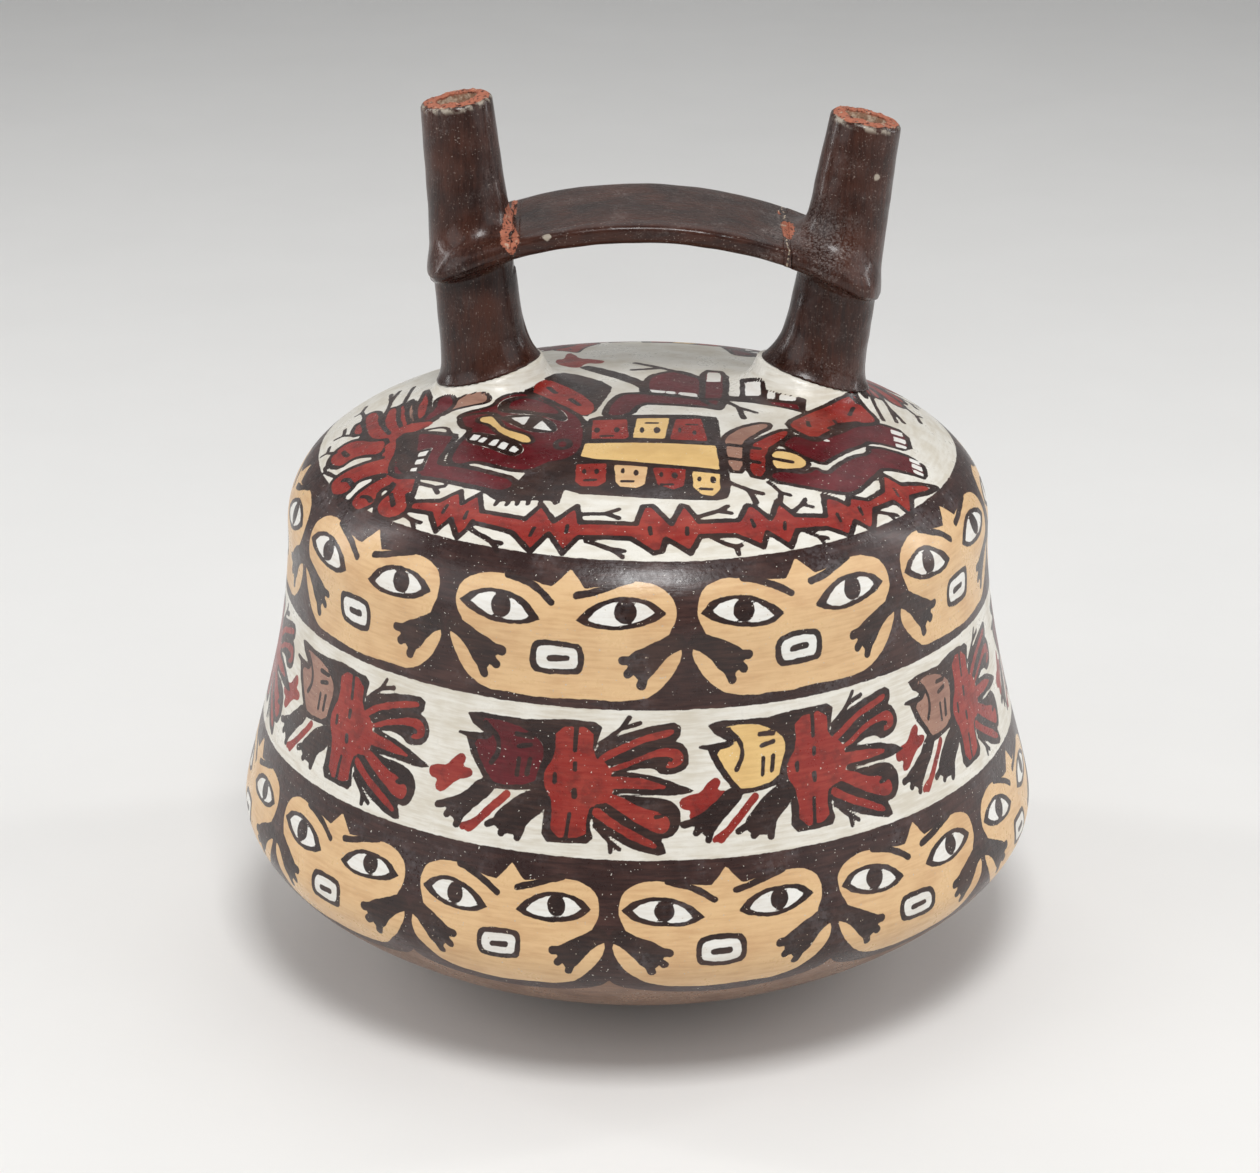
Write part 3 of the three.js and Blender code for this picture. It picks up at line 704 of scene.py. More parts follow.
def figure_head(sheet):
    """Large masked head that looks left: a slanting eye, an ochre ornament over the mouth and a row of
    teeth."""
    mask = [(-36.9, -11), (-36.6, -9), (-35, -7.8), (-32, -7), (-29.6, -5.4), (-28.8, -2), (-26.5, 0),
            (-22.6, 0.4), (-19, -4), (-15, -10), (-11.4, -16), (-10.4, -24), (-11, -32), (-13, -36),
            (-17.6, -38.5), (-22, -40.4), (-26, -38.8), (-31, -35), (-33.4, -33.6), (-35.6, -34.4),
            (-38, -33), (-38.4, -30), (-36.8, -24.4), (-34.9, -20.4), (-34.2, -17.8), (-36.2, -16)]
    inked(sheet, "maroon", mask, 1.3)
    shadow = [(-28.4, -3), (-24, -1), (-19.4, -5), (-16, -10.4), (-14.4, -15), (-14.6, -18), (-17, -16.6),
              (-20.6, -13), (-26, -11.4), (-29.4, -9)]
    brush(sheet, "line", shadow, cut=("maroon",))
    window(sheet, "maroon",
           [(-26, -4), (-22.4, -2.6), (-18, -8), (-15.8, -13.4), (-19, -12.4), (-23, -10), (-27, -8.6)])
    brush(sheet, "line", [(-36.6, -10), (-33.8, -9.4), (-30, -9.8), (-28.4, -12.8)], 1.2)
    ornament = [(-32.9, -11.6), (-30, -11.3), (-29, -13), (-28, -17), (-26.5, -20), (-23.5, -22.5),
                (-22, -24), (-21, -27), (-22, -28.2), (-24, -27.5), (-26, -25), (-28.5, -22), (-30, -18),
                (-31, -16), (-33, -14.5)]
    window(sheet, "ochre", ornament)
    closed = smooth_line(ornament, True, 1)
    brush(sheet, "line", np.concatenate([closed, closed[:1]]), 1.0, rounds=0)
    lid = [(-28, -12.6), (-24, -12), (-20, -14), (-17, -18), (-16.2, -22.7), (-18.2, -23.4), (-22, -22.4),
           (-25.4, -18.4), (-27.8, -14.4)]
    brush(sheet, "line", lid, cut=("maroon",))
    window(sheet, "white", [(-26.2, -13.7), (-22.2, -13.9), (-23.4, -18.6)], rounds=0)
    window(sheet, "white", [(-19.7, -16.4), (-17.5, -22.6), (-21.4, -20.4)], rounds=0)
    gum = [(-35, -20.5), (-33, -19.4), (-27, -24), (-23.3, -28.5), (-23, -32), (-25, -33.6), (-27, -32),
           (-31, -27.6), (-35, -24.6)]
    brush(sheet, "line", gum, cut=("maroon",))
    for tooth in (
        [(-33.5, -20.8), (-32.1, -21.7), (-33, -24.1), (-34.4, -23.2)],
        [(-31.6, -22.8), (-30.7, -23.5), (-31.5, -25.5), (-32.5, -24.7)],
        [(-29.2, -24.4), (-28.2, -25.1), (-29, -28), (-30.5, -26.7)],
        [(-27.5, -26), (-26.2, -27.4), (-27, -30), (-28.5, -28.6)],
        [(-25.2, -28.4), (-24, -30.5), (-24.8, -31.8), (-26.2, -30.7)],
    ):
        window(sheet, "white", tooth, rounds=0)
    neck = [(-31.6, -45), (-27, -46.8), (-24, -44), (-22, -40), (-18, -37), (-13.4, -35.6), (-11.4, -38),
            (-12, -46.6), (-14.5, -48), (-15.4, -52.5), (-16.6, -52.6), (-17.2, -51.6), (-27.6, -49.8),
            (-28.6, -48.8)]
    brush(sheet, "line", neck, rounds=0)
    for root, tip in (((-27.2, -48.4), (-28.3, -50.6)), ((-25.4, -49.6), (-26, -51.2)),
                      ((-23.6, -50), (-24, -51.6)), ((-21.4, -50.4), (-21.8, -51.9)),
                      ((-19, -50.8), (-19.4, -52.3)), ((-16.4, -50), (-16.3, -52.6))):
        brush(sheet, "line", [root, tip], 1.0)
    brush(sheet, "line", disc((-15.2, -29.4), 2.2, 2.9, 10))
    window(sheet, "maroon", disc((-15.2, -29.4), 0.9, 1.5, 8))


def second_jaw(sheet):
    """The open jaw at the left, with a bar that runs down to the comb and a column of teeth."""
    block = [(-49.4, -14), (-44.4, -15.2), (-38.4, -19.2), (-36.9, -20), (-38.4, -25), (-40.2, -30.6),
             (-39.8, -32.4), (-35.6, -34.4), (-30, -38.6), (-24, -43), (-25, -46.6), (-28, -46.8),
             (-33, -43.4), (-39, -39.2), (-44.2, -35.6), (-50, -32.6), (-50.6, -28), (-49, -22)]
    inked(sheet, "maroon", block, 1.4)
    brush(sheet, "line", [(-46.4, -24.2), (-41.8, -24.2), (-43.6, -33.2), (-47.6, -33.2)], rounds=0,
          cut=("maroon",))
    for tooth in (
        [(-44.6, -25.1), (-42.6, -25.2), (-43.2, -27.4), (-44.9, -26.9)],
        [(-45, -28.1), (-43.4, -28.4), (-44, -30.4), (-45.4, -30)],
        [(-46.1, -31.1), (-44.7, -31.5), (-45.1, -33.1), (-46.4, -32.2)],
    ):
        window(sheet, "white", tooth, rounds=0)
    brush(sheet, "line", [(-44.6, -14.6), (-39.4, -14.4), (-38.4, -18.4)], 1.0)
    brush(sheet, "line", [(-42.4, -16.2), (-38.2, -18.8)], 1.0)


def plume_fan(sheet):
    """Plumes spread from the back of the jaw: pink, maroon and red spikes above, red curled tips below."""
    backing = [(-47, -7), (-51, 0), (-57, -1), (-59.4, -11), (-57, -17), (-55, -20), (-55, -29),
               (-54, -34), (-50, -38), (-45.4, -35), (-45, -24), (-45, -14), (-40, -8), (-43, -4)]
    brush(sheet, "line", backing, rounds=1)
    spikes = (
        ("pink",
         [(-41, -8.4), (-38.6, -5.4), (-35, -4.6), (-31.2, -4), (-30.6, -1), (-31.8, 2.4), (-35, 2.4),
          (-38, 0.4), (-40.4, -3.4)]),
        ("maroon",
         [(-45.6, -8.4), (-42.6, -3), (-42.4, 2.4), (-40.8, 4), (-39, 3.6), (-38, 0), (-38.4, -4),
          (-41.4, -7.4), (-43.6, -10)]),
        ("red",
         [(-46.4, -9.6), (-47, -1), (-45.8, 6), (-45, 12.6), (-43.8, 5.4), (-43.6, -1), (-44.2, -7)]),
        ("pink", [(-47.6, -10.6), (-48.8, -2), (-48.2, 8.4), (-47, 2), (-46.6, -4), (-46, -9)]),
        ("red", [(-50.4, -11), (-51, -3), (-50.8, 4.6), (-49.6, 6), (-48.8, 2), (-48.4, -4), (-47.2, -10)]),
        ("red",
         [(-51.4, -14), (-53.8, -5), (-53.6, 3), (-52.2, 5.2), (-50.6, 3.4), (-50.4, -4), (-48.8, -12)]),
        ("red", [(-57.4, -7.4), (-60.4, -6), (-60.8, -1), (-59.8, 2.6), (-58.2, -0.6)]),
        ("red",
         [(-51.4, -18.4), (-53.4, -18.4), (-55.8, -12), (-57.6, -6), (-58.8, 3.4), (-58, 6.4), (-55.8, 6),
          (-54.6, 3), (-54.4, -3), (-52.6, -9), (-50.6, -15)]),
    )
    for paint, outline in spikes:
        brush(sheet, None, outline, rounds=1, cut=("line",))
        inked(sheet, paint, outline, 1.1)
    hub = [(-50.4, -10), (-46, -9), (-42, -10.4), (-44, -13.4), (-48.4, -14.6), (-49.4, -21),
           (-50.4, -27), (-49.6, -32), (-46, -33.6), (-46.4, -37), (-50, -36), (-52.6, -32), (-53, -26),
           (-52.4, -21), (-53, -16)]
    brush(sheet, "red", hub, rounds=1, cut=("line",))
    curls = (
        [(-51.4, -15), (-55, -13), (-58, -9.6), (-61.2, -8), (-64.4, -9.6), (-65.8, -13), (-64.8, -16.6),
         (-62.2, -19.8), (-59.6, -18.4), (-57.6, -18.8), (-52.8, -22)],
        [(-50, -23.4), (-55, -22.6), (-61, -22), (-64.4, -22.8), (-65.2, -25.8), (-64.4, -29.2),
         (-61, -31.4), (-59.4, -30.8), (-58, -29), (-55, -29.4), (-50.4, -31)],
        [(-49.6, -31), (-53, -31.2), (-55.4, -32), (-58.8, -33.4), (-60.2, -35.2), (-58.6, -39),
         (-55, -39.8), (-53.2, -38.6), (-52.8, -36), (-49.4, -35.4)],
        [(-44.4, -33.8), (-48.4, -33.4), (-49.6, -35.2), (-50.4, -37.6), (-53.4, -39.2), (-54.2, -42.2),
         (-52, -45.6), (-48.6, -46.8), (-46.6, -45.8), (-45.4, -41.4), (-44.8, -38)],
    )
    for outline in curls:
        brush(sheet, None, outline, rounds=1, cut=("line",))
        inked(sheet, "red", outline, 1.25)
    brush(sheet, "red", [(-50.8, -18), (-50.6, -24), (-50.6, -30), (-48, -35)], 2.6, cut=("line",))
    for hook, width in (
        ([(-62, -12.4), (-61.4, -14.2), (-60.6, -15.8)], 1.2),
        ([(-61.4, -25.4), (-60, -26.6), (-59.2, -29)], 1.2),
        ([(-57, -35), (-55.5, -36), (-54.8, -38)], 1.1),
        ([(-50.2, -38.6), (-49.8, -42.4)], 1.1),
        ([(-46.8, -40.4), (-46.4, -44)], 1.0),
    ):
        brush(sheet, "line", hook, width)
    sprig(sheet, [(-58.4, 4.4), (-59.5, 9.6)], ((-61, 8.8), (-58.8, 14)), 1.0)
    sprig(sheet, [(-53.8, -2), (-53.2, 5), (-52.8, 9.4)], ((-53.4, 17.4), (-51.4, 18)), 1.0)
    sprig(sheet, [(-49.8, 5), (-48.9, 12)], ((-48.2, 18.4),), 1.0)
    sprig(sheet, [(-59.6, -6), (-62.8, -2.6)], ((-65, -2), (-62.8, 1.8)), 1.0)
    sprig(sheet, [(-64, -11), (-66.2, -8)], ((-68, -7.4), (-66, -5)), 1.0)
    sprig(sheet, [(-63.4, -22.4), (-66.2, -17.4)], ((-68.4, -16.4), (-66.4, -14.8)), 1.0)
    sprig(sheet, [(-61, -30.8), (-61, -33)], ((-62.6, -33.2), (-60.2, -34)), 0.8)
    sprig(sheet, [(-48, -46), (-45.7, -48.8)], ((-43.8, -50.5), (-45.4, -51.3)), 1.0)


def serpent(sheet):
    """A red band with saw teeth on both sides that runs from the fan along the shoulder's front to a
    sharp tip."""
    upper = [(-46, -40.6), (-45.4, -43.4), (-39.7, -45.7), (-35.4, -44), (-35, -48.2), (-31.5, -46.3),
             (-31, -52), (-22.2, -56.3), (-19, -52.5), (-16.5, -58), (-12, -53.8), (-11.3, -58.8),
             (-0.4, -59.8), (1, -54.4), (2.9, -54.2), (6.5, -59.6), (8.5, -53.8), (9.6, -54.2),
             (12, -58.5), (19.8, -57), (21.5, -52), (23, -52.3), (26.2, -55.4), (27.6, -49.6),
             (31.2, -53), (37.5, -51.2), (37, -45), (40, -45.2), (42.1, -46), (42.3, -43.4),
             (46.4, -42.4), (49.8, -37.6), (49.6, -31.2), (54, -32.8), (58.4, -29.4), (62.8, -27)]
    lower = [(60.6, -30.8), (56.4, -35.6), (56.7, -41.6), (52.4, -39.8), (48, -44.6), (48, -50.8),
             (43.8, -50), (43, -54.4), (38, -54.4), (31.7, -57), (30.6, -61.5), (25.6, -59.2), (25, -63),
             (19.2, -61.2), (12.3, -62.3), (10.4, -66.7), (5.4, -63.5), (4.8, -66.6), (3, -67),
             (-1.5, -63.6), (-11.8, -62.8), (-15, -66.3), (-17.6, -61), (-21.5, -65), (-25, -59.4),
             (-32.6, -54.8), (-36.3, -57.6), (-37.4, -52), (-40.7, -54.2), (-41.7, -48.8), (-46.4, -45.6)]
    inked(sheet, "red", upper + lower, 1.2, rounds=0)
    for x, y, lean in (
        (-38.6, -48.6, 0.5), (-34.3, -52, 0.3), (-20.9, -60, 0.4), (-14, -60.2, 0.1), (2.4, -61.5, -0.1),
        (9.6, -61.2, 0), (22.7, -57.3, -0.3), (29.1, -56.5, 0), (40.3, -50.5, -0.4),
        (45, -46.7, -0.4), (52.8, -36.3, -0.5),
    ):
        brush(sheet, "line", [(x - lean, y - 0.9), (x + lean, y + 0.9)], 0.85, rounds=0)
    for stem, forks, width in (
        ([(-33, -54.2), (-34, -55.8), (-29.2, -60.6)], ((-27.2, -61.6), (-28.2, -63.2)), 1.15),
        ([(-11.3, -56.5), (-6.4, -56.7)], ((-3.8, -55.4), (-3.8, -58)), 1.15),
        ([(-10.3, -63.8), (-5.4, -66.1)], ((-2.6, -66.7), (-3, -68)), 1.05),
        ([(12, -57), (15.6, -55)], ((17.7, -53.1), (18.3, -55.2)), 1.15),
        ([(14.4, -62.4), (17, -63.6), (19.4, -64)], ((20.4, -63.4), (20, -65.6)), 1.05),
        ([(30.8, -52), (32.7, -49.4)], ((34.8, -49.4), (33.4, -47.3)), 1.05),
        ([(32.6, -56.6), (36.2, -57.2)], ((38.2, -56.9), (37.3, -58.3)), 1.0),
        ([(48, -45.2), (51.2, -44.2)], ((53.3, -43.3), (52.6, -45)), 1.0),
        ([(18.3, -45.2), (22, -47.2)], ((24.6, -47.8), (23.3, -51)), 1.35),
        ([(26, -43.6), (28.4, -46.6)], ((30.2, -47), (28.2, -50)), 1.1),
        ([(-44.6, -37.6), (-41, -40.6)], ((-40.2, -43), (-38.8, -41.2)), 1.05),
    ):
        sprig(sheet, stem, forks, width)


def front_being(sheet):
    """The masked figure with its plumes, staff, legs and serpent, from the left round the front to the
    right."""
    plume_fan(sheet)
    serpent(sheet)
    second_jaw(sheet)
    diadem_peak(sheet)
    figure_head(sheet)
    tunic(sheet)
    raised_arm(sheet)
    staff(sheet)
    loincloth(sheet)
    legs(sheet)


# The being at the back: its fan is the front one turned by so much, and its body lies along the
# shoulder's edge
BACK_TURN = np.radians(196)
BACK_START = np.radians(36)
BACK_GROW = 0.78
BACK_TALL = 0.52
BACK_ARC = 56
# Where the strip begins in the figure's drawing, and the distance from the apex that lies there
STRIP_START = (-50, -52.5)
STRIP_RADIUS = 66.5


def turned_plan(sheet):
    """The plan turned back, so that the front fan is drawn at the right behind."""
    angle = np.arctan2(sheet.v, sheet.u) - BACK_TURN
    radius = np.hypot(sheet.u, sheet.v)
    return Sheet(radius * np.cos(angle), radius * np.sin(angle), sheet.paints)


def edge_strip(sheet):
    """The back of the shoulder as a strip: u runs along the edge from the fan, v falls towards the edge."""
    angle = (np.arctan2(sheet.v, sheet.u) - BACK_START + np.pi) % (2 * np.pi) - np.pi
    u = STRIP_START[0] + angle * BACK_ARC / BACK_GROW
    v = STRIP_START[1] + (STRIP_RADIUS - np.hypot(sheet.u, sheet.v)) / BACK_TALL
    return Sheet(u, v, sheet.paints)


def back_being(sheet):
    """The same figure without its staff, serpent, raised arm and diadem peak, smaller, along the back of
    the shoulder.
    """
    plume_fan(turned_plan(sheet))
    strip = edge_strip(sheet)
    second_jaw(strip)
    figure_head(strip)
    tunic(strip)
    loincloth(strip)
    legs(strip)


def paint_dome(sheet):
    """Both beings and the top of the upper band; u and v lie in plan, as arc lengths from the apex."""
    back_being(sheet)
    front_being(sheet)
    arc = APEX_ARC - np.hypot(sheet.u, sheet.v)
    theta = np.arctan2(sheet.u, -sheet.v)
    wall = Sheet(theta * UNROLL, arc, sheet.paints)
    paint_wall(wall)


# Meshes

def grid_faces(rows, columns, wrap_rows=False):
    """Quads of a grid whose columns close on themselves; the first row is the lowest."""
    row = np.arange(rows if wrap_rows else rows - 1)[:, None]
    column = np.arange(columns)[None, :]
    up, across = (row + 1) % rows, (column + 1) % columns
    quads = np.stack(
        [row * columns + column, row * columns + across, up * columns + across, up * columns + column], -1
    )
    return quads.reshape(-1, 4)


def fan_faces(ring, centre, outwards_up):
    """Triangles from a closed ring of point numbers to one centre point."""
    after = np.roll(ring, -1)
    middle = np.full(len(ring), centre)
    return np.stack([ring, after, middle] if outwards_up else [after, ring, middle], 1)


def make_piece(name, points, quads, triangles, flat_from, material, nodes, layers, rim_normals=None):
    """One mesh from points in millimetres; faces from number flat_from on stay flat. It rides on the only
    body. Where rim_normals is not zero, it sets the shading direction, so that two pieces meet without a
    line."""
    mesh = bpy.data.meshes.new(name)
    mesh.vertices.add(len(points))
    mesh.vertices.foreach_set("co", (np.asarray(points) * MM).astype(np.float32).ravel())
    corners = np.concatenate([quads.ravel(), triangles.ravel()]).astype(np.int32)
    sizes = np.concatenate([np.full(len(quads), 4), np.full(len(triangles), 3)])
    mesh.loops.add(len(corners))
    mesh.loops.foreach_set("vertex_index", corners)
    mesh.polygons.add(len(sizes))
    mesh.polygons.foreach_set("loop_start", (np.cumsum(sizes) - sizes).astype(np.int32))
    smooth = np.ones(len(sizes), bool)
    smooth[flat_from:] = False
    mesh.polygons.foreach_set("use_smooth", smooth)
    mesh.update(calc_edges=True)
    mesh.validate()
    for layer, values in layers.items():
        attribute = mesh.attributes.new(layer, "FLOAT", "POINT")
        attribute.data.foreach_set("value", np.asarray(values, np.float32))
    if rim_normals is not None:
        mesh.normals_split_custom_set_from_vertices(rim_normals.tolist())
    mesh.materials.append(material)
    piece = bpy.data.objects.new(name, mesh)
    bpy.context.collection.objects.link(piece)
    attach(piece, "root")
    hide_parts(*nodes)


def turned_points(radius, height):
    """Rings of points about Z and their angles, 0 at the front; the wall's unevenness is added to the
    radius."""
    turn = -np.arange(SPOKES) * 2 * np.pi / SPOKES
    turn = (turn + np.pi) % (2 * np.pi) - np.pi
    turns, z = np.meshgrid(turn, height)
    r = np.asarray(radius, float)[:, None] + hand_waves(-turns, z)
    return np.stack([r * np.sin(-turns), -r * np.cos(turns), z], -1), -turns


def inner_wall(arcs):
    """Skin points moved inwards by the wall's thickness, square to the outline."""
    radius, height = skin_at(arcs)
    along_r = np.gradient(radius, arcs)
    along_z = np.gradient(height, arcs)
    size = np.hypot(along_r, along_z)
    return radius - WALL * along_z / size, height + WALL * along_r / size


def skin_normals(theta, arc):
    """Outward directions of the uneven skin: the cross product of its slopes round the body and up the
    outline."""
    step, turn_step = 0.4, 0.01
    radius, height = skin_at(arc)
    low_radius, low_height = skin_at(arc - step)
    high_radius, high_height = skin_at(arc + step)
    radius = radius + hand_waves(theta, height)
    turned = hand_waves(theta + turn_step, height) - hand_waves(theta - turn_step, height)
    round_slope = turned / (2 * turn_step)
    out_slope = high_radius + hand_waves(theta, high_height) - low_radius - hand_waves(theta, low_height)
    out = radius * (high_height - low_height)
    turn = round_slope * (low_height - high_height)
    up = -radius * out_slope
    sin, cos = np.sin(theta), np.cos(theta)
    normal = np.stack([out * sin + turn * cos, turn * sin - out * cos, up + 0 * theta], -1)
    return normal / np.linalg.norm(normal, axis=-1, keepdims=True)


def wall_course(name, low, high, material, coarse_to=None):
    """A course of the wall: the skin at fine steps, then over the top ledge and down the inner wall. The
    bowl has wide steps up to the arc coarse_to, and is closed by a fan of triangles below and on its
    floor."""
    start, end = arc_of(low), arc_of(high)
    arcs = np.linspace(start, end, int((end - start) / SKIN_STEP) + 2)
    if coarse_to is not None:
        fine = arcs[arcs > coarse_to]
        arcs = np.concatenate([np.linspace(start, fine[0], UNDERSIDE_ROWS, endpoint=False), fine])
    radius, height = skin_at(arcs)
    inner_arcs = np.linspace(end, start + (0 if coarse_to is None else FLOOR_RISE), INSIDE_ROWS)
    inner_radius, inner_height = inner_wall(inner_arcs[::-1])
    inner_radius, inner_height = inner_radius[::-1].copy(), inner_height[::-1].copy()
    inner_height[0] = high
    if coarse_to is None:
        inner_height[-1] = low
    rows = len(arcs) + INSIDE_ROWS
    points, angle = turned_points(np.r_[radius, inner_radius], np.r_[height, inner_height])
    sheet = Sheet(angle[: len(arcs)].ravel() * UNROLL, np.repeat(arcs, SPOKES))
    paint_wall(sheet)
    hidden = np.full(INSIDE_ROWS * SPOKES, -FAR)
    layers = {paint: np.r_[values, hidden] for paint, values in sheet.paints.items()}
    points = points.reshape(-1, 3)
    if coarse_to is None:
        quads = grid_faces(rows, SPOKES, wrap_rows=True)
        triangles = np.zeros((0, 3), int)
    else:
        quads = grid_faces(rows, SPOKES)
        under, floor = len(points), len(points) + 1
        points = np.concatenate([points, [(0, 0, 0), (0, 0, WALL)]])
        ring = np.arange(SPOKES)
        triangles = np.concatenate(
            [fan_faces(ring, under, False), fan_faces(ring + (rows - 1) * SPOKES, floor, True)]
        )
        layers = {paint: np.r_[values, -FAR, -FAR] for paint, values in layers.items()}
    rim_normals = np.zeros((len(points), 3))
    top_row = (len(arcs) - 1) * SPOKES
    rim_normals[top_row : top_row + SPOKES] = skin_normals(angle[0], end)
    if coarse_to is None:
        rim_normals[:SPOKES] = skin_normals(angle[0], start)
    make_piece(
        f"painted_{name}", points, quads, triangles, top_row, material, [name], layers, rim_normals
    )


def disc_grid(cells):
    """A square grid bent to a disc: a point's larger coordinate is its radius, the smaller one sets its
    angle."""
    line = np.linspace(-1, 1, cells + 1)
    x, y = np.meshgrid(line, line)
    wide = np.abs(x) >= np.abs(y)
    big = np.where(wide, x, y)
    small = np.where(wide, y, x)
    turn = np.pi / 4 * small / np.where(big == 0, 1, big)
    u = np.where(wide, big * np.cos(turn), big * np.sin(turn))
    v = np.where(wide, big * np.sin(turn), big * np.cos(turn))
    return u, v


def square_faces(cells):
    row, column = np.meshgrid(np.arange(cells), np.arange(cells), indexing="ij")
    corner = row * (cells + 1) + column
    return np.stack([corner, corner + 1, corner + cells + 2, corner + cells + 1], -1).reshape(-1, 4)


def square_border(cells):
    """Point numbers round the square grid, counter-clockwise seen from above."""
    side = cells + 1
    bottom = np.arange(cells)
    right = np.arange(cells) * side + cells
    top = cells * side + np.arange(cells, 0, -1)
    left = np.arange(cells, 0, -1) * side
    return np.concatenate([bottom, right, top, left])


def foot_of(spout):
    """The spout's foot on the dome, its axis, and the direction across it in the plane of the lean."""
    height = dome_height(spout["foot"], SPOUT_Y)
    foot = np.array([spout["foot"], SPOUT_Y, height])
    axis = np.array([np.sin(spout["lean"]), 0, np.cos(spout["lean"])])
    across = np.array([np.cos(spout["lean"]), 0, -np.sin(spout["lean"])])
    return foot, axis, across


def foot_flare(above, inwards, spread):
    """How far the clay round a foot stands out at a height above the dome; inwards is 1 towards the middle.
    It falls off as the logarithm of 1 plus the fourth power of the flare's own height over that height."""
    reach = FLARE_REACH + spread * inwards**2
    height = FLARE_HEIGHT + FLARE_INNER_HEIGHT * inwards**2
    return reach / 4 * np.log1p((height / np.maximum(above, FLARE_LEAST)) ** 4)


def slip_edge(inwards):
    """Height above the dome at which a spout's dark slip ends and the cream slip begins."""
    return SLIP_EDGE + SLIP_EDGE_RISE * inwards**SLIP_EDGE_POWER


def fillet_raise(points):
    """Cream clay drawn up round each foot: level with the edge of the dark slip, and falling off
    outwards."""
    raised = np.zeros(points.shape[:-1])
    for spout in (LEFT, RIGHT):
        foot, axis, across = foot_of(spout)
        from_foot = points - foot
        away = np.linalg.norm(from_foot - (from_foot @ axis)[..., None] * axis, axis=-1)
        inwards = (1 - spout["side"] * (from_foot @ across) / np.maximum(away, 1e-6)) / 2
        edge = slip_edge(np.clip(inwards, 0, 1))
        outside = np.maximum(away - FOOT_RADIUS - foot_flare(edge, inwards, spout["flare"]), 0)
        raised = np.maximum(raised, edge * np.exp(-outside / FILLET_DECAY))
    return raised


def shoulder_dome(material):
    """The dome: a square grid bent to a disc and laid on the skin, closed below by the ledge and the
    inner wall."""
    u, v = disc_grid(DOME_CELLS)
    reach = APEX_ARC - arc_of(UPPER_TOP)
    u, v = u.ravel() * reach, v.ravel() * reach
    arc = APEX_ARC - np.hypot(u, v)
    theta = np.arctan2(u, -v)
    radius, height = skin_at(arc)
    r = radius + hand_waves(theta, height) * np.clip(radius / EVEN_TOP_RADIUS, 0, 1)
    points = np.stack([r * np.sin(theta), -r * np.cos(theta), height], -1)
    raised = fillet_raise(points)
    points[:, 2] += raised
    sheet = Sheet(u, v + PAINT_CLIMB * raised)
    paint_dome(sheet)
    for values in sheet.paints.values():
        np.minimum(values, PLAIN_SLOPE * (PLAIN_ABOVE - raised), out=values)
    border = square_border(DOME_CELLS)
    inner_arcs = np.linspace(arc_of(UPPER_TOP), APEX_ARC - INNER_APEX_GAP, INSIDE_ROWS)
    inner_radius, inner_height = inner_wall(inner_arcs)
    inner_height[0] = UPPER_TOP
    turn = theta[border]
    rings = [
        np.stack([ir * np.sin(turn), -ir * np.cos(turn), np.full(len(border), iz)], -1)
        for ir, iz in zip(inner_radius, inner_height)
    ]
    count = len(points)
    inside_numbers = count + np.arange(INSIDE_ROWS * len(border)).reshape(INSIDE_ROWS, -1)
    numbers = np.concatenate([border[None], inside_numbers])
    pole = count + INSIDE_ROWS * len(border)
    points = np.concatenate([points, *rings, [(0, 0, APEX_HEIGHT - WALL)]])
    after = np.roll(numbers, -1, axis=1)
    inner = np.stack([numbers[:-1], numbers[1:], after[1:], after[:-1]], -1).reshape(-1, 4)
    skin = square_faces(DOME_CELLS)
    quads = np.concatenate([skin, inner])
    triangles = fan_faces(numbers[-1], pole, False)
    spare = np.full(INSIDE_ROWS * len(border) + 1, -FAR)
    layers = {paint: np.r_[values, spare] for paint, values in sheet.paints.items()}
    rim_normals = np.zeros((len(points), 3))
    rim_normals[border] = skin_normals(turn, arc_of(UPPER_TOP))
    make_piece(
        "painted_shoulder_dome", points, quads, triangles, len(skin),
        material, ["shoulder_dome"], layers, rim_normals,
    )


# Spouts and bridge

def spout_radius(share):
    return FOOT_RADIUS + (RIM_RADIUS - FOOT_RADIUS) * np.clip(share, 0, 1) ** 2


def axis_x(spout, height):
    foot, _, _ = foot_of(spout)
    return spout["foot"] + np.tan(spout["lean"]) * (height - foot[2])


def crown_x():
    return (axis_x(LEFT, CROWN) + axis_x(RIGHT, CROWN)) / 2 + CROWN_SHIFT


def crack_x(spout):
    return axis_x(spout, CROWN) - spout["side"] * (FOOT_RADIUS + spout["stub"])


def strap_top(x):
    """Height of the arc's top line over a place across the bridge, before the tilt."""
    return CROWN - STRAP_ARC + np.sqrt(STRAP_ARC**2 - np.clip(x - crown_x(), -STRAP_REACH, STRAP_REACH) ** 2)


def untilted(points):
    """y and z of points after the strap's tilt is taken out about its crown."""
    y = points[..., 1] - SPOUT_Y
    z = points[..., 2] - CROWN
    cos, sin = np.cos(STRAP_TILT), np.sin(STRAP_TILT)
    return y * cos + z * sin, z * cos - y * sin + CROWN


def strap_level(points):
    """Height of points over the strap's top surface, both without the tilt."""
    return untilted(points)[1] - strap_top(points[..., 0])


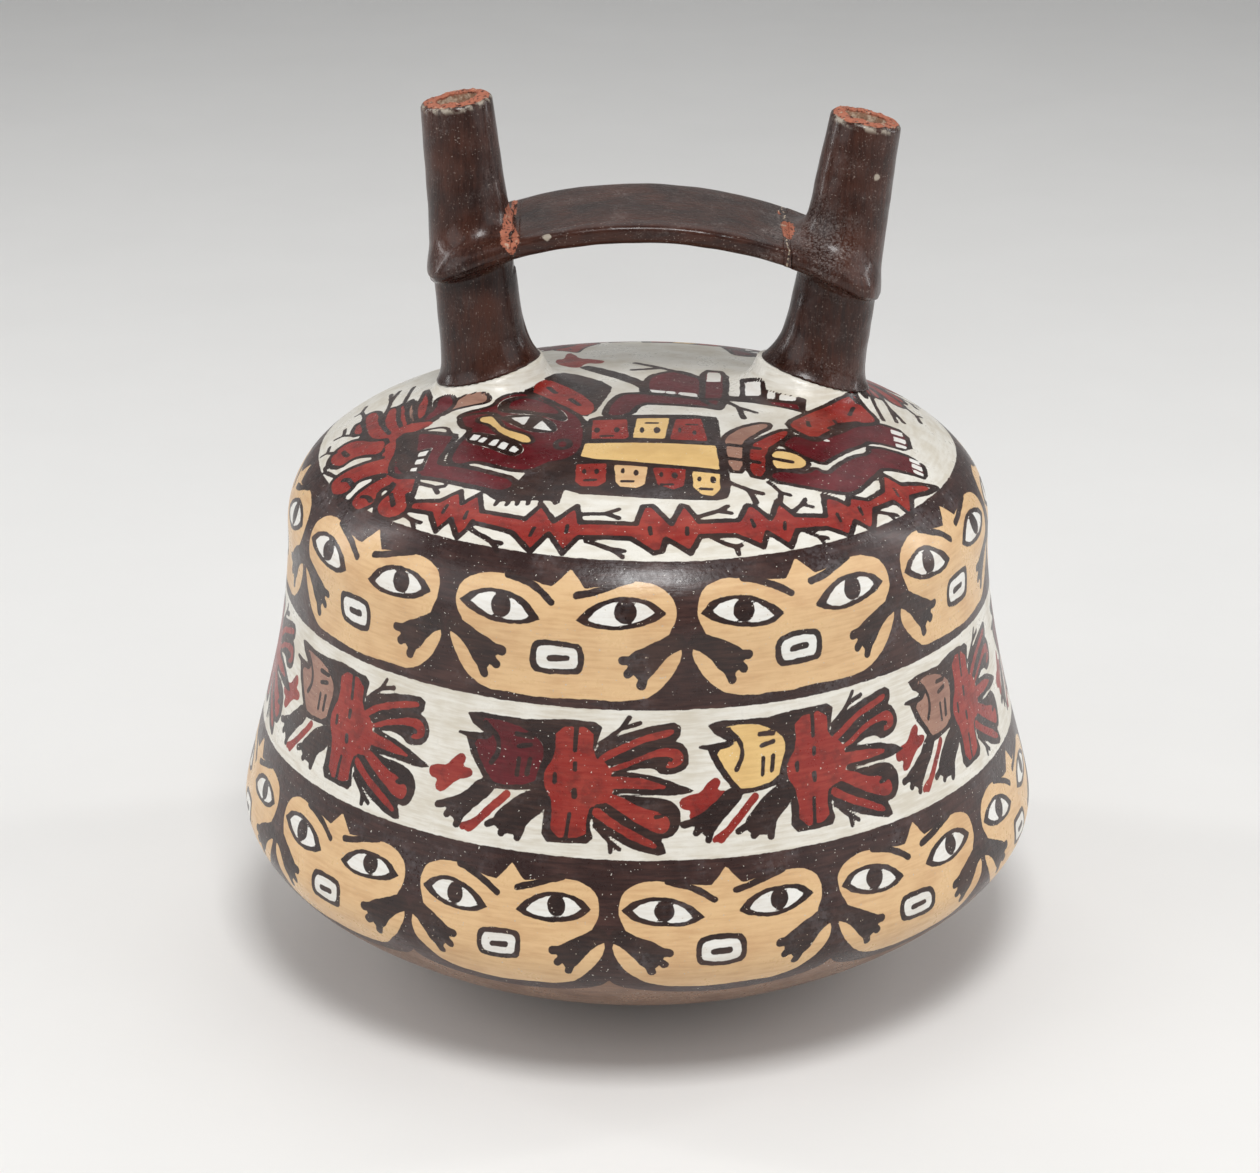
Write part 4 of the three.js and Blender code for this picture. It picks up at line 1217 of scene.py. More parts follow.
def root_solid(spout, points):
    """Signed distance to the bridge's end round a spout, negative inside: the strap's thickness above and
    below, and in plan a squarish oval from the crack round the spout's far side, with rounded edges."""
    y, z = untilted(points)
    x = points[..., 0]
    slope = (x - crown_x()) / STRAP_ARC
    level = np.sqrt(np.clip(1 - slope**2, 0.2, 1))
    half = STRAP_THICKNESS / 2
    up = (np.abs(z - strap_top(x) + half) - half) * level
    reach = spout["stub"] + FOOT_RADIUS + spout["outer"]
    out = np.maximum(spout["side"] * (x - crack_x(spout)), 0) / reach
    across = np.abs(y) / (STRAP_WIDTH / 2)
    power = ROOT_POWER
    ratio = np.maximum((out**power + across**power) ** (1 / power), 1e-3)
    slopes = np.hypot(out ** (power - 1) / reach, across ** (power - 1) / (STRAP_WIDTH / 2))
    side = (ratio - 1) * ratio ** (power - 1) / np.maximum(slopes, 1e-9)
    inner = np.stack([up + STRAP_EDGE, side + STRAP_EDGE])
    return np.hypot(*np.maximum(inner, 0)) + np.minimum(inner.max(0), 0) - STRAP_EDGE


def blend_solids(a, b, reach):
    """Union of two signed distances with a fillet: the smaller one, less a quarter of the reach where
    they tie."""
    share = np.clip(0.5 + 0.5 * (b - a) / reach, 0, 1)
    return b + (a - b) * share - reach * share * (1 - share)


# Orange chips at each break as outlines: millimetres across from the break's middle, and along it from the
# strap's middle towards the back; past the front edge the distance runs down the front face
CHIPS = {
    -1: ([(-1.3, 13.5), (-0.1, 12.6), (-0.1, 5.4), (-0.4, 1), (-0.6, -3.2), (0.3, -7), (0.9, -10.8),
          (1, -13.5), (0.6, -14.7), (-0.6, -16.5), (-1.9, -14.7), (-2.5, -13.5), (-3.1, -11), (-3, -8.1),
          (-1.9, -2.1), (-1.4, 1.6), (-1.3, 7)],),
    1: ([(-0.9, 2.2), (0.5, 3.1), (1.7, 0.8), (1.9, -3.7), (0.9, -7.5), (-0.5, -7), (-0.9, -2.8)],
        [(-1.6, 8.4), (-0.8, 8.6), (-0.6, 6), (-1.3, 5.4)]),
}
# Pale spots on the dark slip: place and radius in millimetres
SPOTS = ((48.6, 0.4, 170.0, 0.75), (-18.6, -6.2, 159.3, 1.0), (14.2, -0.2, 163.2, 0.5))
# Chips lie between these heights over the strap's top surface
CHIP_LOW, CHIP_HIGH = -5, 4
# A break's thin crack: half its width and how far it wanders; the left one is seen only in front of a
# place along it
CRACK_HALF, CRACK_WANDER, LEFT_CRACK_FROM = 0.16, 0.35, -11
# The fissure in the left chip: half its width, that width's unevenness, its place across, how far it
# wanders, and its middle and half length along the break
FISSURE_HALF, FISSURE_UNEVEN, FISSURE_ACROSS, FISSURE_WANDER = 0.26, 0.2, -0.6, 0.5
FISSURE_MIDDLE, FISSURE_REACH = -2, 11
# Bloom beside the right break: its middle and size to the right of the break and along it, and the height
# over and under the strap's top within which it is full, with how fast it fades past that
HAZE_BESIDE, HAZE_ALONG, HAZE_LEVEL = (5, 8), (-5, 10), (3, 6)


def break_layers(points):
    """Signed distances to the chips, the thin cracks, the fissure in the left chip and the pale spots,
    and how near the right break is."""
    flat = points.reshape(-1, 3)
    level = strap_level(flat)
    y, _ = untilted(flat)
    along = y + np.where(y < 0, np.minimum(level, 0), 0)
    chip = np.full(len(flat), -FAR)
    crack = np.full(len(flat), -FAR)
    for spout in (LEFT, RIGHT):
        across = flat[:, 0] - crack_x(spout) + spout["side"] * CRACK_WIDTH / 2
        for outline in CHIPS[spout["side"]]:
            line = smooth_line(outline, True, 1)
            away = edge_distance(across, along, line, True)
            chip = np.maximum(chip, np.where(inside(across, along, line), away, -away))
        wander = CRACK_WANDER * waves(along, 0 * along, 303 + spout["side"], 9)
        thin = CRACK_HALF - np.abs(across - wander)
        crack = np.maximum(crack, thin if spout is RIGHT else np.minimum(thin, LEFT_CRACK_FROM - along))
    past = np.maximum(np.maximum(level - CHIP_HIGH, CHIP_LOW - level), 0)
    chip = chip - 2 * past
    across = flat[:, 0] - crack_x(LEFT) - CRACK_WIDTH / 2
    half = FISSURE_HALF + FISSURE_UNEVEN * waves(along, 0 * along, 313, 5)
    wander = FISSURE_WANDER * waves(along, 0 * along, 311, 8)
    fissure = half - np.abs(across - FISSURE_ACROSS - wander)
    fissure = np.minimum(fissure, FISSURE_REACH - np.abs(along - FISSURE_MIDDLE))
    spot = np.max([r - np.linalg.norm(flat - (x, y, z), axis=1) for x, y, z, r in SPOTS], axis=0)
    beside = (flat[:, 0] - crack_x(RIGHT) - HAZE_BESIDE[0]) / HAZE_BESIDE[1]
    lengthways = (along - HAZE_ALONG[0]) / HAZE_ALONG[1]
    upright = np.maximum(np.abs(level) - HAZE_LEVEL[0], 0) / HAZE_LEVEL[1]
    layers = {"chip": chip, "crack": crack, "fissure": fissure, "spot": spot}
    layers = {name: np.clip(layer, -FAR, FAR) for name, layer in layers.items()}
    return {**layers, "haze": np.exp(-(beside**2) - lengthways**2 - upright**2)}


# Rows of a spout's skin below, at and above the bridge's shelf: there they fan out this far each way,
# with an even and a crowded share
SHELF_FAN = 10
ROWS_BELOW, ROWS_ON_SHELF, ROWS_ABOVE = 90, 200, 60
EVEN_SHARE, CROWDED_SHARE = 0.22, 0.78
# The rows take the shelf's slope over this share of the fan
SLOPED_SHARE = 0.45
# Rays from the axis: the first step, the longest, the step's length, and how often the last step is halved
RAY_START, RAY_REACH, RAY_STEP, RAY_HALVINGS = 2.0, 24.0, 0.3, 9
# Cosine of the arc's slope where the spouts stand
ARC_COSINE = 0.92
BACKWARDS = np.array([0, 1.0, 0])
# Fillets between spout and root: over the root at its outer side, what the front and back add, and under
# it at the outer side, with what the inner side adds
TOP_FILLET, TOP_FILLET_FRONT, UNDER_FILLET, UNDER_FILLET_INNER = 3.4, 3.6, 1.8, 1.4
# The dark slip stands proud of the cream clay round the foot, and below its edge it is tucked in under it
SLIP_PROUD, TUCK, TUCK_FADE = 0.12, 1.2, 0.3
# A thin skirt of clay drawn up the spout from the root: thickness, height above the strap and fade below it
SKIRT, SKIRT_HEIGHT, SKIRT_FADE = 0.7, 16, 0.8
# Unevenness of the spout, of the broken face, the break's height each way and its worn edge
SPOUT_WAVE, BREAK_WAVE, BREAK_REACH, BREAK_EDGE = 0.12, 0.1, 8, 0.15


def spout_rows(spout, middle):
    """Axial places of the rows: even along the spout, and crowded where the bridge's thin shelf meets
    it."""
    turn = np.linspace(-1, 1, ROWS_ON_SHELF)
    shelf = middle + SHELF_FAN * (EVEN_SHARE * turn + CROWDED_SHARE * turn**3)
    below = np.linspace(-SPIGOT, middle - SHELF_FAN, ROWS_BELOW, endpoint=False)
    above = np.linspace(middle + SHELF_FAN, spout["length"], ROWS_ABOVE)[1:]
    return np.concatenate([below, shelf, above])


def radial_directions(across, angle):
    """Directions square to a spout's axis at each angle: 0 is along across, a right angle is towards the
    back."""
    return np.cos(angle)[..., None] * across + np.sin(angle)[..., None] * BACKWARDS


def rim_drop(spout, angle):
    """How far the worn rim lies below the full length: most at its outer side, and a little uneven round
    it."""
    x, y = np.cos(angle), np.sin(angle)
    seed = spout["rim_seed"]
    slant = RIM_SLANT * (1 + spout["side"] * x) / 2
    wear = RIM_WEAR * (waves(x, y, seed, 1.6) + 1) / 2
    return RIM_WEAR + slant + wear + RIM_CRUMBS * waves(x, y, seed + 1, 0.5)


def spout_skin(spout):
    """Rays leave the axis at every row and angle and stop at the skin of the spout and the bridge's root.
    Near the shelf the rows fan out from one place, so that they run along it and past its rounded edge."""
    foot, axis, across = foot_of(spout)
    middle_height = strap_top(axis_x(spout, CROWN)) - STRAP_THICKNESS / 2
    middle = (middle_height - foot[2]) / axis[2]
    angle = np.arange(SPOUT_COLUMNS) * 2 * np.pi / SPOUT_COLUMNS
    turn, place = np.meshgrid(angle, spout_rows(spout, middle))
    offset = place - middle
    near = np.abs(offset) < SHELF_FAN
    start = np.where(near, offset * np.abs(offset) / SHELF_FAN, offset)
    rise = (offset - start) / FOOT_RADIUS
    arc_slope = -(axis_x(spout, CROWN) - crown_x()) / (STRAP_ARC * ARC_COSINE)
    shelf_slope = np.cos(turn) * (arc_slope + np.tan(spout["lean"])) + np.sin(turn) * np.tan(STRAP_TILT)
    rise = rise + shelf_slope * np.exp(-((offset / (SLOPED_SHARE * SHELF_FAN)) ** 2))
    direction = radial_directions(across, turn) + rise[..., None] * axis
    origin = foot + (middle + start)[..., None] * axis
    inwards = (1 - spout["side"] * np.cos(turn)) / 2
    inner_side = np.maximum(-spout["side"] * np.cos(turn), 0)
    above_fillet = TOP_FILLET + (spout["fillet"] - TOP_FILLET) * inner_side**2
    above_fillet = above_fillet + TOP_FILLET_FRONT * np.sin(turn) ** 2
    fillet = np.where(offset > 0, above_fillet, UNDER_FILLET + UNDER_FILLET_INNER * inwards)
    top_edge = spout["length"] - rim_drop(spout, turn)

    def solid(distance):
        """Signed distance to the clay at that distance along every ray, negative inside."""
        points = origin + distance[..., None] * direction
        height = (points - foot) @ axis
        away = np.linalg.norm(points - foot - height[..., None] * axis, axis=-1)
        above_dome = points[..., 2] - dome_height(points[..., 0], points[..., 1])
        edge = slip_edge(inwards)
        flare = foot_flare(np.maximum(above_dome, edge), inwards, spout["flare"]) + SLIP_PROUD
        flare = flare - TUCK * np.clip((edge - above_dome) / TUCK_FADE, 0, 1)
        above_strap = strap_level(points) + STRAP_THICKNESS
        skirt_top = np.clip(1 - above_strap / SKIRT_HEIGHT, 0, 1) ** 1.5
        skirt = SKIRT * skirt_top * np.clip(1 + above_strap / SKIRT_FADE, 0, 1)
        hand = SPOUT_WAVE * waves(height / 2.2, 3 * turn, 71 + spout["side"], 9)
        rounding = np.clip((height - top_edge + RIM_ROUND_HEIGHT) / RIM_ROUND_HEIGHT, 0, 1)
        rim_round = RIM_ROUND * rounding**2
        tube = away - spout_radius(height / spout["length"]) - flare - skirt - hand + rim_round
        joined = blend_solids(tube, root_solid(spout, points), fillet)
        ragged = BREAK_WAVE * waves(points[..., 1], points[..., 2], 83, 7)
        crack = -spout["side"] * (points[..., 0] - crack_x(spout) - ragged)
        crack = crack - 2 * np.maximum(np.abs(above_strap - STRAP_THICKNESS / 2) - BREAK_REACH, 0)
        return -blend_solids(-joined, -crack, BREAK_EDGE)

    first = np.full(turn.shape, RAY_REACH)
    found = np.zeros(turn.shape, bool)
    for step in np.arange(RAY_START, RAY_REACH, RAY_STEP):
        out = (solid(np.full(turn.shape, step)) > 0) & ~found
        first[out] = step
        found |= out
    low, high = first - RAY_STEP, first
    for _ in range(RAY_HALVINGS):
        half = (low + high) / 2
        outside = solid(half) > 0
        high = np.where(outside, half, high)
        low = np.where(outside, low, half)
    return origin + high[..., None] * direction, angle, place, top_edge


def spout_with_root(name, spout, material, nodes):
    """Outer skin up the spout, over the worn rim and down the bore; its last ring joins the first at the
    bottom."""
    foot, axis, across = foot_of(spout)
    skin, angle, place, top_edge = spout_skin(spout)
    squeeze = np.minimum(place, top_edge) - place
    skin = skin + squeeze[..., None] * axis
    edge = top_edge[0]
    radial = radial_directions(across, angle)
    mouth_wave = MOUTH_WAVE * waves(np.cos(angle), np.sin(angle), 91 + spout["side"], 4)
    rim_rows = []
    for share in RIM_SHARES:
        mouth = BORE_RIM - MOUTH_INSET + mouth_wave
        radius = (RIM_RADIUS - RIM_ROUND) * (1 - share) + mouth * share
        crumble = RIM_CRUMBLE * waves(9 * np.cos(angle), 9 * np.sin(angle), 97 + int(share * 10), 3)
        height = edge + RIM_BULGE * np.sin(np.pi * share) + crumble * (share < 1)
        rim_rows.append(foot + height[:, None] * axis + radius[:, None] * radial)
    bore_rows = []
    bore_depths = []
    for share in np.linspace(0, 1, BORE_ROWS + 1)[1:] ** BORE_CROWDING:
        height = edge * (1 - share) - SPIGOT * share
        bore_depths.append(edge - height)
        crust = (MOUTH_INSET - mouth_wave) * np.clip(1 - share / CRUST_END, 0, 1)
        uneven = BORE_WAVE * waves(height / 3, 4 * angle, 99, 5)
        radius = BORE_RIM + (BORE_FOOT - BORE_RIM) * share - crust + uneven
        bore_rows.append(foot + height[:, None] * axis + radius[:, None] * radial)
    points = np.concatenate([skin, np.stack(rim_rows), np.stack(bore_rows)])
    count = len(points)
    drop = np.zeros(points.shape[:2])
    drop[: len(skin)] = np.maximum(top_edge - place, 0)
    drop[len(skin) + len(rim_rows) :] = -np.stack(bore_depths)
    quads = grid_faces(count, SPOUT_COLUMNS, wrap_rows=True)
    layers = {"below_rim": drop.ravel(), **break_layers(points)}
    make_piece(
        name, points.reshape(-1, 3), quads, np.zeros((0, 3), int), len(quads), material, nodes, layers
    )


def strap_section(share):
    """A flat bar's outline as distances across and up from its middle: a superellipse with worn edges."""
    angle = 2 * np.pi * share
    power = 2 / STRAP_POWER
    across = np.sign(np.cos(angle)) * np.abs(np.cos(angle)) ** power
    up = np.sign(np.sin(angle)) * np.abs(np.sin(angle)) ** power
    return across, up


def even_section(columns):
    """Shares of the section at even distances along its outline."""
    fine = np.linspace(0, 1, SECTION_STEPS)
    across, up = strap_section(fine)
    steps = np.hypot(np.diff(across * STRAP_WIDTH / 2), np.diff(up * STRAP_THICKNESS / 2))
    length = np.r_[0, np.cumsum(steps)]
    return np.interp(np.arange(columns) / columns * length[-1], length, fine)


def bridge_bar(name, start, end, rows, columns, material, nodes):
    """The section swept along the arc from one end to the other, a little uneven, and closed with a flat
    end each side."""
    across, up = strap_section(even_section(columns))
    place, around = np.meshgrid(np.linspace(start, end, rows), np.arange(columns), indexing="ij")
    uneven = STRAP_WAVE * waves(place, around / 6, STRAP_SEED, 19)
    width_wave = STRAP_WIDTH_WAVE * waves(place, 0 * place, STRAP_SEED + 2, 40)
    half_width = STRAP_WIDTH / 2 * (1 + width_wave) + uneven
    half_thick = STRAP_THICKNESS / 2 + 0.5 * uneven
    y = across[around] * half_width
    z = up[around] * half_thick + strap_top(place) - STRAP_THICKNESS / 2 - CROWN
    cos, sin = np.cos(STRAP_TILT), np.sin(STRAP_TILT)
    points = np.stack([place, SPOUT_Y + y * cos - z * sin, CROWN + y * sin + z * cos], -1)
    centres = [points[0].mean(0), points[-1].mean(0)]
    quads = grid_faces(rows, columns)
    first, last = rows * columns, rows * columns + 1
    ring = np.arange(columns)
    triangles = np.concatenate(
        [fan_faces(ring, first, False), fan_faces(ring + (rows - 1) * columns, last, True)]
    )
    flat = np.concatenate([points.reshape(-1, 3), centres])
    make_piece(name, flat, quads, triangles, len(quads), material, nodes, break_layers(flat))


# Materials

def colour(red, green, blue):
    """A colour as painted, from screen values of 0 to 255 to the linear values of a shader."""
    screen = np.array([red, green, blue]) / 255
    linear = np.where(screen <= 0.04045, screen / 12.92, ((screen + 0.055) / 1.055) ** 2.4)
    return (*linear, 1.0)


class Nodes:
    """A material's node tree with short calls for the nodes that the finishes share."""

    def __init__(self, name):
        self.material = bpy.data.materials.new(name)
        self.material.use_nodes = True
        self.tree = self.material.node_tree
        self.shader = self.tree.nodes["Principled BSDF"]

    def new(self, kind, **settings):
        node = self.tree.nodes.new(kind)
        for key, value in settings.items():
            setattr(node, key, value)
        return node

    def link(self, source, target):
        if isinstance(source, (int, float, tuple)):
            target.default_value = source
        else:
            self.tree.links.new(source, target)

    def math(self, operation, a, b):
        node = self.new("ShaderNodeMath", operation=operation)
        self.link(a, node.inputs[0])
        self.link(b, node.inputs[1])
        return node.outputs[0]

    def place(self, scale=(1, 1, 1), rotation=(0, 0, 0)):
        """Object coordinates in millimetres, turned and stretched."""
        mapping = self.new("ShaderNodeMapping")
        mapping.inputs["Rotation"].default_value = rotation
        mapping.inputs["Scale"].default_value = tuple(s / MM for s in scale)
        self.link(self.new("ShaderNodeTexCoord").outputs["Object"], mapping.inputs["Vector"])
        return mapping.outputs[0]

    def noise(self, size, detail=3.0, rough=0.55, scale=(1, 1, 1), rotation=(0, 0, 0)):
        """Noise of about 0 to 1 whose spots are size millimetres across."""
        node = self.new("ShaderNodeTexNoise")
        node.inputs["Scale"].default_value = 1 / size
        node.inputs["Detail"].default_value = detail
        node.inputs["Roughness"].default_value = rough
        self.link(self.place(scale, rotation), node.inputs["Vector"])
        return node.outputs["Fac"]

    def ramp(self, value, low, high, to_low=0.0, to_high=1.0):
        node = self.new("ShaderNodeMapRange", clamp=True, interpolation_type="SMOOTHSTEP")
        self.link(value, node.inputs["Value"])
        for key, number in (("From Min", low), ("From Max", high), ("To Min", to_low), ("To Max", to_high)):
            node.inputs[key].default_value = number
        return node.outputs[0]

    def mix(self, share, a, b):
        node = self.new("ShaderNodeMix", data_type="RGBA")
        self.link(share, node.inputs["Factor"])
        self.link(a, node.inputs["A"])
        self.link(b, node.inputs["B"])
        return node.outputs["Result"]

    def layer(self, name):
        return self.new("ShaderNodeAttribute", attribute_name=name).outputs["Fac"]

    def bump(self, height, depth, under=None):
        """Bump whose height input of 1 stands depth millimetres proud."""
        node = self.new("ShaderNodeBump")
        node.inputs["Strength"].default_value = 1.0
        node.inputs["Distance"].default_value = depth * MM
        self.link(height, node.inputs["Height"])
        if under is not None:
            self.link(under, node.inputs["Normal"])
        return node.outputs[0]

    def finish(self, base, roughness, normal, specular=0.5, coat=0.0, coat_roughness=0.2):
        self.link(base, self.shader.inputs["Base Color"])
        self.link(roughness, self.shader.inputs["Roughness"])
        self.link(normal, self.shader.inputs["Normal"])
        self.shader.inputs["Specular IOR Level"].default_value = specular
        self.shader.inputs["Coat Weight"].default_value = coat
        self.shader.inputs["Coat Roughness"].default_value = coat_roughness
        return self.material


CREAM = colour(223, 219, 209)
CREAM_WORN = colour(203, 195, 179)
SMUDGE = colour(66, 28, 25)
BLOOM = colour(120, 114, 116)
PAINT_COLOURS = {
    "ground": (colour(44, 25, 22), colour(70, 44, 38)),
    "tan": (colour(216, 180, 134), colour(200, 160, 116)),
    "pink": (colour(156, 118, 100), colour(134, 96, 82)),
    "red": (colour(134, 36, 29), colour(154, 58, 46)),
    "maroon": (colour(82, 12, 20), colour(102, 28, 34)),
    "ochre": (colour(222, 186, 124), colour(206, 168, 108)),
    "white": (colour(228, 226, 220), colour(214, 208, 198)),
    "line": (colour(36, 21, 18), colour(62, 40, 33)),
    "bare": (colour(128, 96, 74), colour(98, 70, 54)),
}


def painted_slip():
    """Cream slip under mineral paints with brushed density, worn spots and burnishing lines."""
    n = Nodes("painted_slip")
    wobble = n.math("MULTIPLY", n.math("SUBTRACT", n.noise(2.2, 2), 0.5), 0.5)
    patch = n.noise(9, 4)
    fine = n.noise(0.9, 3)
    strokes = n.noise(1.1, 3, scale=(0.18, 0.18, 1.6))
    density = n.math("ADD", n.math("MULTIPLY", strokes, 0.5), n.math("MULTIPLY", patch, 0.5))
    shade = n.mix(n.ramp(density, 0.38, 0.66), CREAM, CREAM_WORN)
    specks = n.ramp(n.noise(0.55, 1), 0.735, 0.76)
    smudge = n.math("MULTIPLY", n.ramp(n.noise(3.4, 5, 0.62), 0.48, 0.66), 0.4)
    bloom = n.math("MULTIPLY", n.ramp(n.noise(11, 5, 0.65), 0.5, 0.72), n.ramp(fine, 0.35, 0.6, 0.0, 0.3))
    for name in PAINTS:
        full, thin = PAINT_COLOURS[name]
        paint = n.mix(n.ramp(density, 0.40, 0.68), full, thin)
        if name in ("red", "maroon"):
            paint = n.mix(smudge, paint, SMUDGE)
        if name in ("ground", "line"):
            paint = n.mix(bloom, paint, BLOOM)
        share = n.ramp(n.math("ADD", n.layer(name), wobble), -0.09, 0.09)
        worn = n.math("MULTIPLY", share, n.math("SUBTRACT", 1.0, n.math("MULTIPLY", specks, 0.75)))
        shade = n.mix(worn, shade, paint)
    lines = n.noise(0.35, 2, scale=(0.06, 0.06, 1.0))
    uneven = n.math("ADD", n.math("MULTIPLY", fine, 0.4), n.math("MULTIPLY", patch, 0.6))
    rough = n.ramp(uneven, 0.3, 0.7, 0.24, 0.42)
    normal = n.bump(lines, 0.03, n.bump(patch, 0.3, n.bump(fine, 0.04)))
    return n.finish(shade, rough, normal, specular=0.38, coat=0.13, coat_roughness=0.16)


def chipped_clay(n):
    """Orange clay of the breaks: two tones, dark pits and a little pale crust."""
    clay = n.mix(n.noise(1.1, 4), colour(148, 80, 58), colour(188, 120, 94))
    clay = n.mix(n.ramp(n.noise(0.7, 3), 0.55, 0.64), clay, colour(70, 35, 27))
    clay = n.mix(n.ramp(n.layer("fissure"), -0.12, 0.1), clay, colour(46, 22, 17))
    crust = n.math("MULTIPLY", n.ramp(n.noise(1.7, 4), 0.58, 0.68), 0.6)
    return n.mix(crust, clay, colour(190, 174, 152))


def dark_slip(name, lean=0.0, part="spout"):
    """Dark brown slip burnished in strokes, with a mineral bloom, specks, chips, cracks and a broken
    rim, and painted shade that darkens the bore with depth."""
    n = Nodes(name)
    scale = (1.0, 1.0, 0.12) if part == "spout" else (0.12, 1.0, 1.0)
    strokes = n.noise(0.8, 4, 0.65, scale, (0, -lean, 0))
    fine = n.noise(0.3, 3, 0.6, (1, 1, 0.35) if part == "spout" else (0.35, 1, 1), (0, -lean, 0))
    patch = n.noise(9, 4)
    tone = n.math("ADD", n.math("MULTIPLY", strokes, 0.4), n.math("MULTIPLY", patch, 0.6))
    shade = n.mix(n.ramp(tone, 0.34, 0.68), colour(36, 18, 13), colour(68, 37, 26))
    haze = n.ramp(n.math("ADD", n.noise(7, 5, 0.65), n.math("MULTIPLY", n.layer("haze"), 0.5)), 0.48, 0.84)
    grain = n.ramp(n.noise(0.5, 4, 0.7), 0.42, 0.62)
    dusty = n.math("MULTIPLY", haze, n.math("MULTIPLY", grain, n.ramp(fine, 0.3, 0.55)))
    shade = n.mix(n.math("MULTIPLY", dusty, 0.5 if part == "spout" else 0.85), shade, colour(138, 128, 124))
    specks = n.math("MULTIPLY", n.ramp(n.noise(0.42, 1), 0.68, 0.73), 0.45)
    shade = n.mix(specks, shade, colour(158, 144, 134))
    crack = n.ramp(n.math("ADD", n.layer("crack"), n.math("MULTIPLY", fine, 0.12)), -0.02, 0.1)
    if part == "break":
        filling = n.mix(n.ramp(n.noise(1.3, 2), 0.45, 0.6), colour(30, 18, 15), colour(178, 160, 140))
        shade = n.mix(crack, shade, filling)
    frayed = n.math("MULTIPLY", n.math("SUBTRACT", n.noise(0.9, 3), 0.5), 1.3)
    bare = n.ramp(n.math("ADD", n.layer("chip"), frayed), -0.06, 0.06)
    if part == "spout":
        near = n.math("ADD", n.layer("below_rim"), n.math("MULTIPLY", n.noise(2.6, 2), -1.2))
        bare = n.math("MAXIMUM", bare, n.math("SUBTRACT", 1.0, n.ramp(near, -0.4, -0.2)))
    clay = chipped_clay(n)
    if part == "spout":
        inside_bore = n.ramp(n.layer("below_rim"), -0.6, -0.25, 1.0, 0.0)
        silt = n.mix(n.ramp(n.noise(1.5, 4), 0.4, 0.6), colour(166, 128, 104), colour(216, 192, 168))
        # Down the bore the silt darkens to near black with depth below the rim: painted shade inside the
        # bore
        shadowed = n.math("ADD", n.layer("below_rim"), n.math("MULTIPLY", n.noise(3, 3), 1.6))
        depth = n.ramp(shadowed, -3.2, -1.4, 1.0, 0.0)
        clay = n.mix(inside_bore, clay, n.mix(depth, silt, colour(24, 16, 13)))
    shade = n.mix(bare, shade, clay)
    if part == "spout":
        below = n.layer("below_rim")
        collar = n.math("MULTIPLY", n.ramp(below, 0.2, 0.5), n.ramp(below, 0.6, 1.9, 1.0, 0.0))
        lime = n.math("MULTIPLY", collar, n.ramp(n.noise(2.4, 5, 0.65), 0.44, 0.6))
        shade = n.mix(n.math("MULTIPLY", lime, 0.7), shade, colour(186, 176, 160))
    spot = n.ramp(n.math("ADD", n.layer("spot"), n.math("MULTIPLY", n.noise(0.8, 3), 0.8)), 0.3, 0.6)
    shade = n.mix(n.math("MULTIPLY", spot, 0.75), shade, colour(176, 166, 150))
    rough = n.math("ADD", n.ramp(strokes, 0.3, 0.7, 0.2, 0.36), n.math("MULTIPLY", bare, 0.5))
    rough = n.math("ADD", rough, n.math("MULTIPLY", dusty, 0.25))
    relief = n.bump(strokes, 0.05, n.bump(fine, 0.03, n.bump(patch, 0.3)))
    normal = n.bump(n.math("MULTIPLY", bare, n.noise(0.7, 4, 0.7)), 0.35, relief)
    return n.finish(shade, rough, normal, specular=0.24, coat=0.14, coat_roughness=0.08)


# Stage, light and camera

CAMERA_AIM = Vector((0, 0, 0.08075))
CAMERA_DISTANCE = 0.7125
CAMERA_RISE = np.radians(21.4)
FOCAL_PIXELS = 3336
IMAGE_WIDTH = 1260
CENTRE_PIXEL = (638, 585)
IMAGE_CENTRE = (630, 586.5)
SENSOR = 36.0


def make_camera():
    """The camera that was fitted to the body's outline, the painted lines and the spouts."""
    data = bpy.data.cameras.new("camera")
    data.sensor_width = SENSOR
    data.lens = FOCAL_PIXELS / IMAGE_WIDTH * SENSOR
    data.shift_x = -(CENTRE_PIXEL[0] - IMAGE_CENTRE[0]) / IMAGE_WIDTH
    data.shift_y = (CENTRE_PIXEL[1] - IMAGE_CENTRE[1]) / IMAGE_WIDTH
    camera = bpy.data.objects.new("camera", data)
    bpy.context.collection.objects.link(camera)
    back = Vector((0, -np.cos(CAMERA_RISE), np.sin(CAMERA_RISE)))
    camera.location = CAMERA_AIM + back * CAMERA_DISTANCE
    camera.rotation_euler = (-back).to_track_quat("-Z", "Y").to_euler()
    bpy.context.scene.camera = camera


def lamp(name, place, aim, power, width, height):
    data = bpy.data.lights.new(name, "AREA")
    data.shape = "RECTANGLE"
    data.size, data.size_y = width, height
    data.energy = power
    light = bpy.data.objects.new(name, data)
    bpy.context.collection.objects.link(light)
    light.location = place
    light.rotation_euler = (Vector(aim) - Vector(place)).to_track_quat("-Z", "Y").to_euler()


# Where the lamps aim, and each lamp: name, place, aim, power, width and height. A soft key from the front
# and above, a weaker lamp over the back, a wide fill each side, and two strips that draw streaks on the
# spouts
BODY_AIM, SPOUT_AIM = (0, 0, 0.09), (0, 0, 0.13)
LAMPS = (
    ("key", (0.05, -0.55, 0.95), BODY_AIM, 6.4, 0.3, 0.3),
    ("top", (0, 0.6, 0.9), SPOUT_AIM, 1.5, 1.0, 0.6),
    ("fill_left", (-0.9, -0.5, 0.5), BODY_AIM, 3.2, 0.8, 0.8),
    ("fill_right", (0.9, -0.4, 0.45), BODY_AIM, 2.6, 0.8, 0.8),
    ("strip_left", (-0.8, 0.25, 0.43), SPOUT_AIM, 1.8, 0.08, 0.7),
    ("strip_right", (0.8, 0.2, 0.43), SPOUT_AIM, 1.8, 0.08, 0.7),
)
SKY_COLOUR, SKY_STRENGTH = (0.95, 0.97, 1.0, 1.0), 0.28
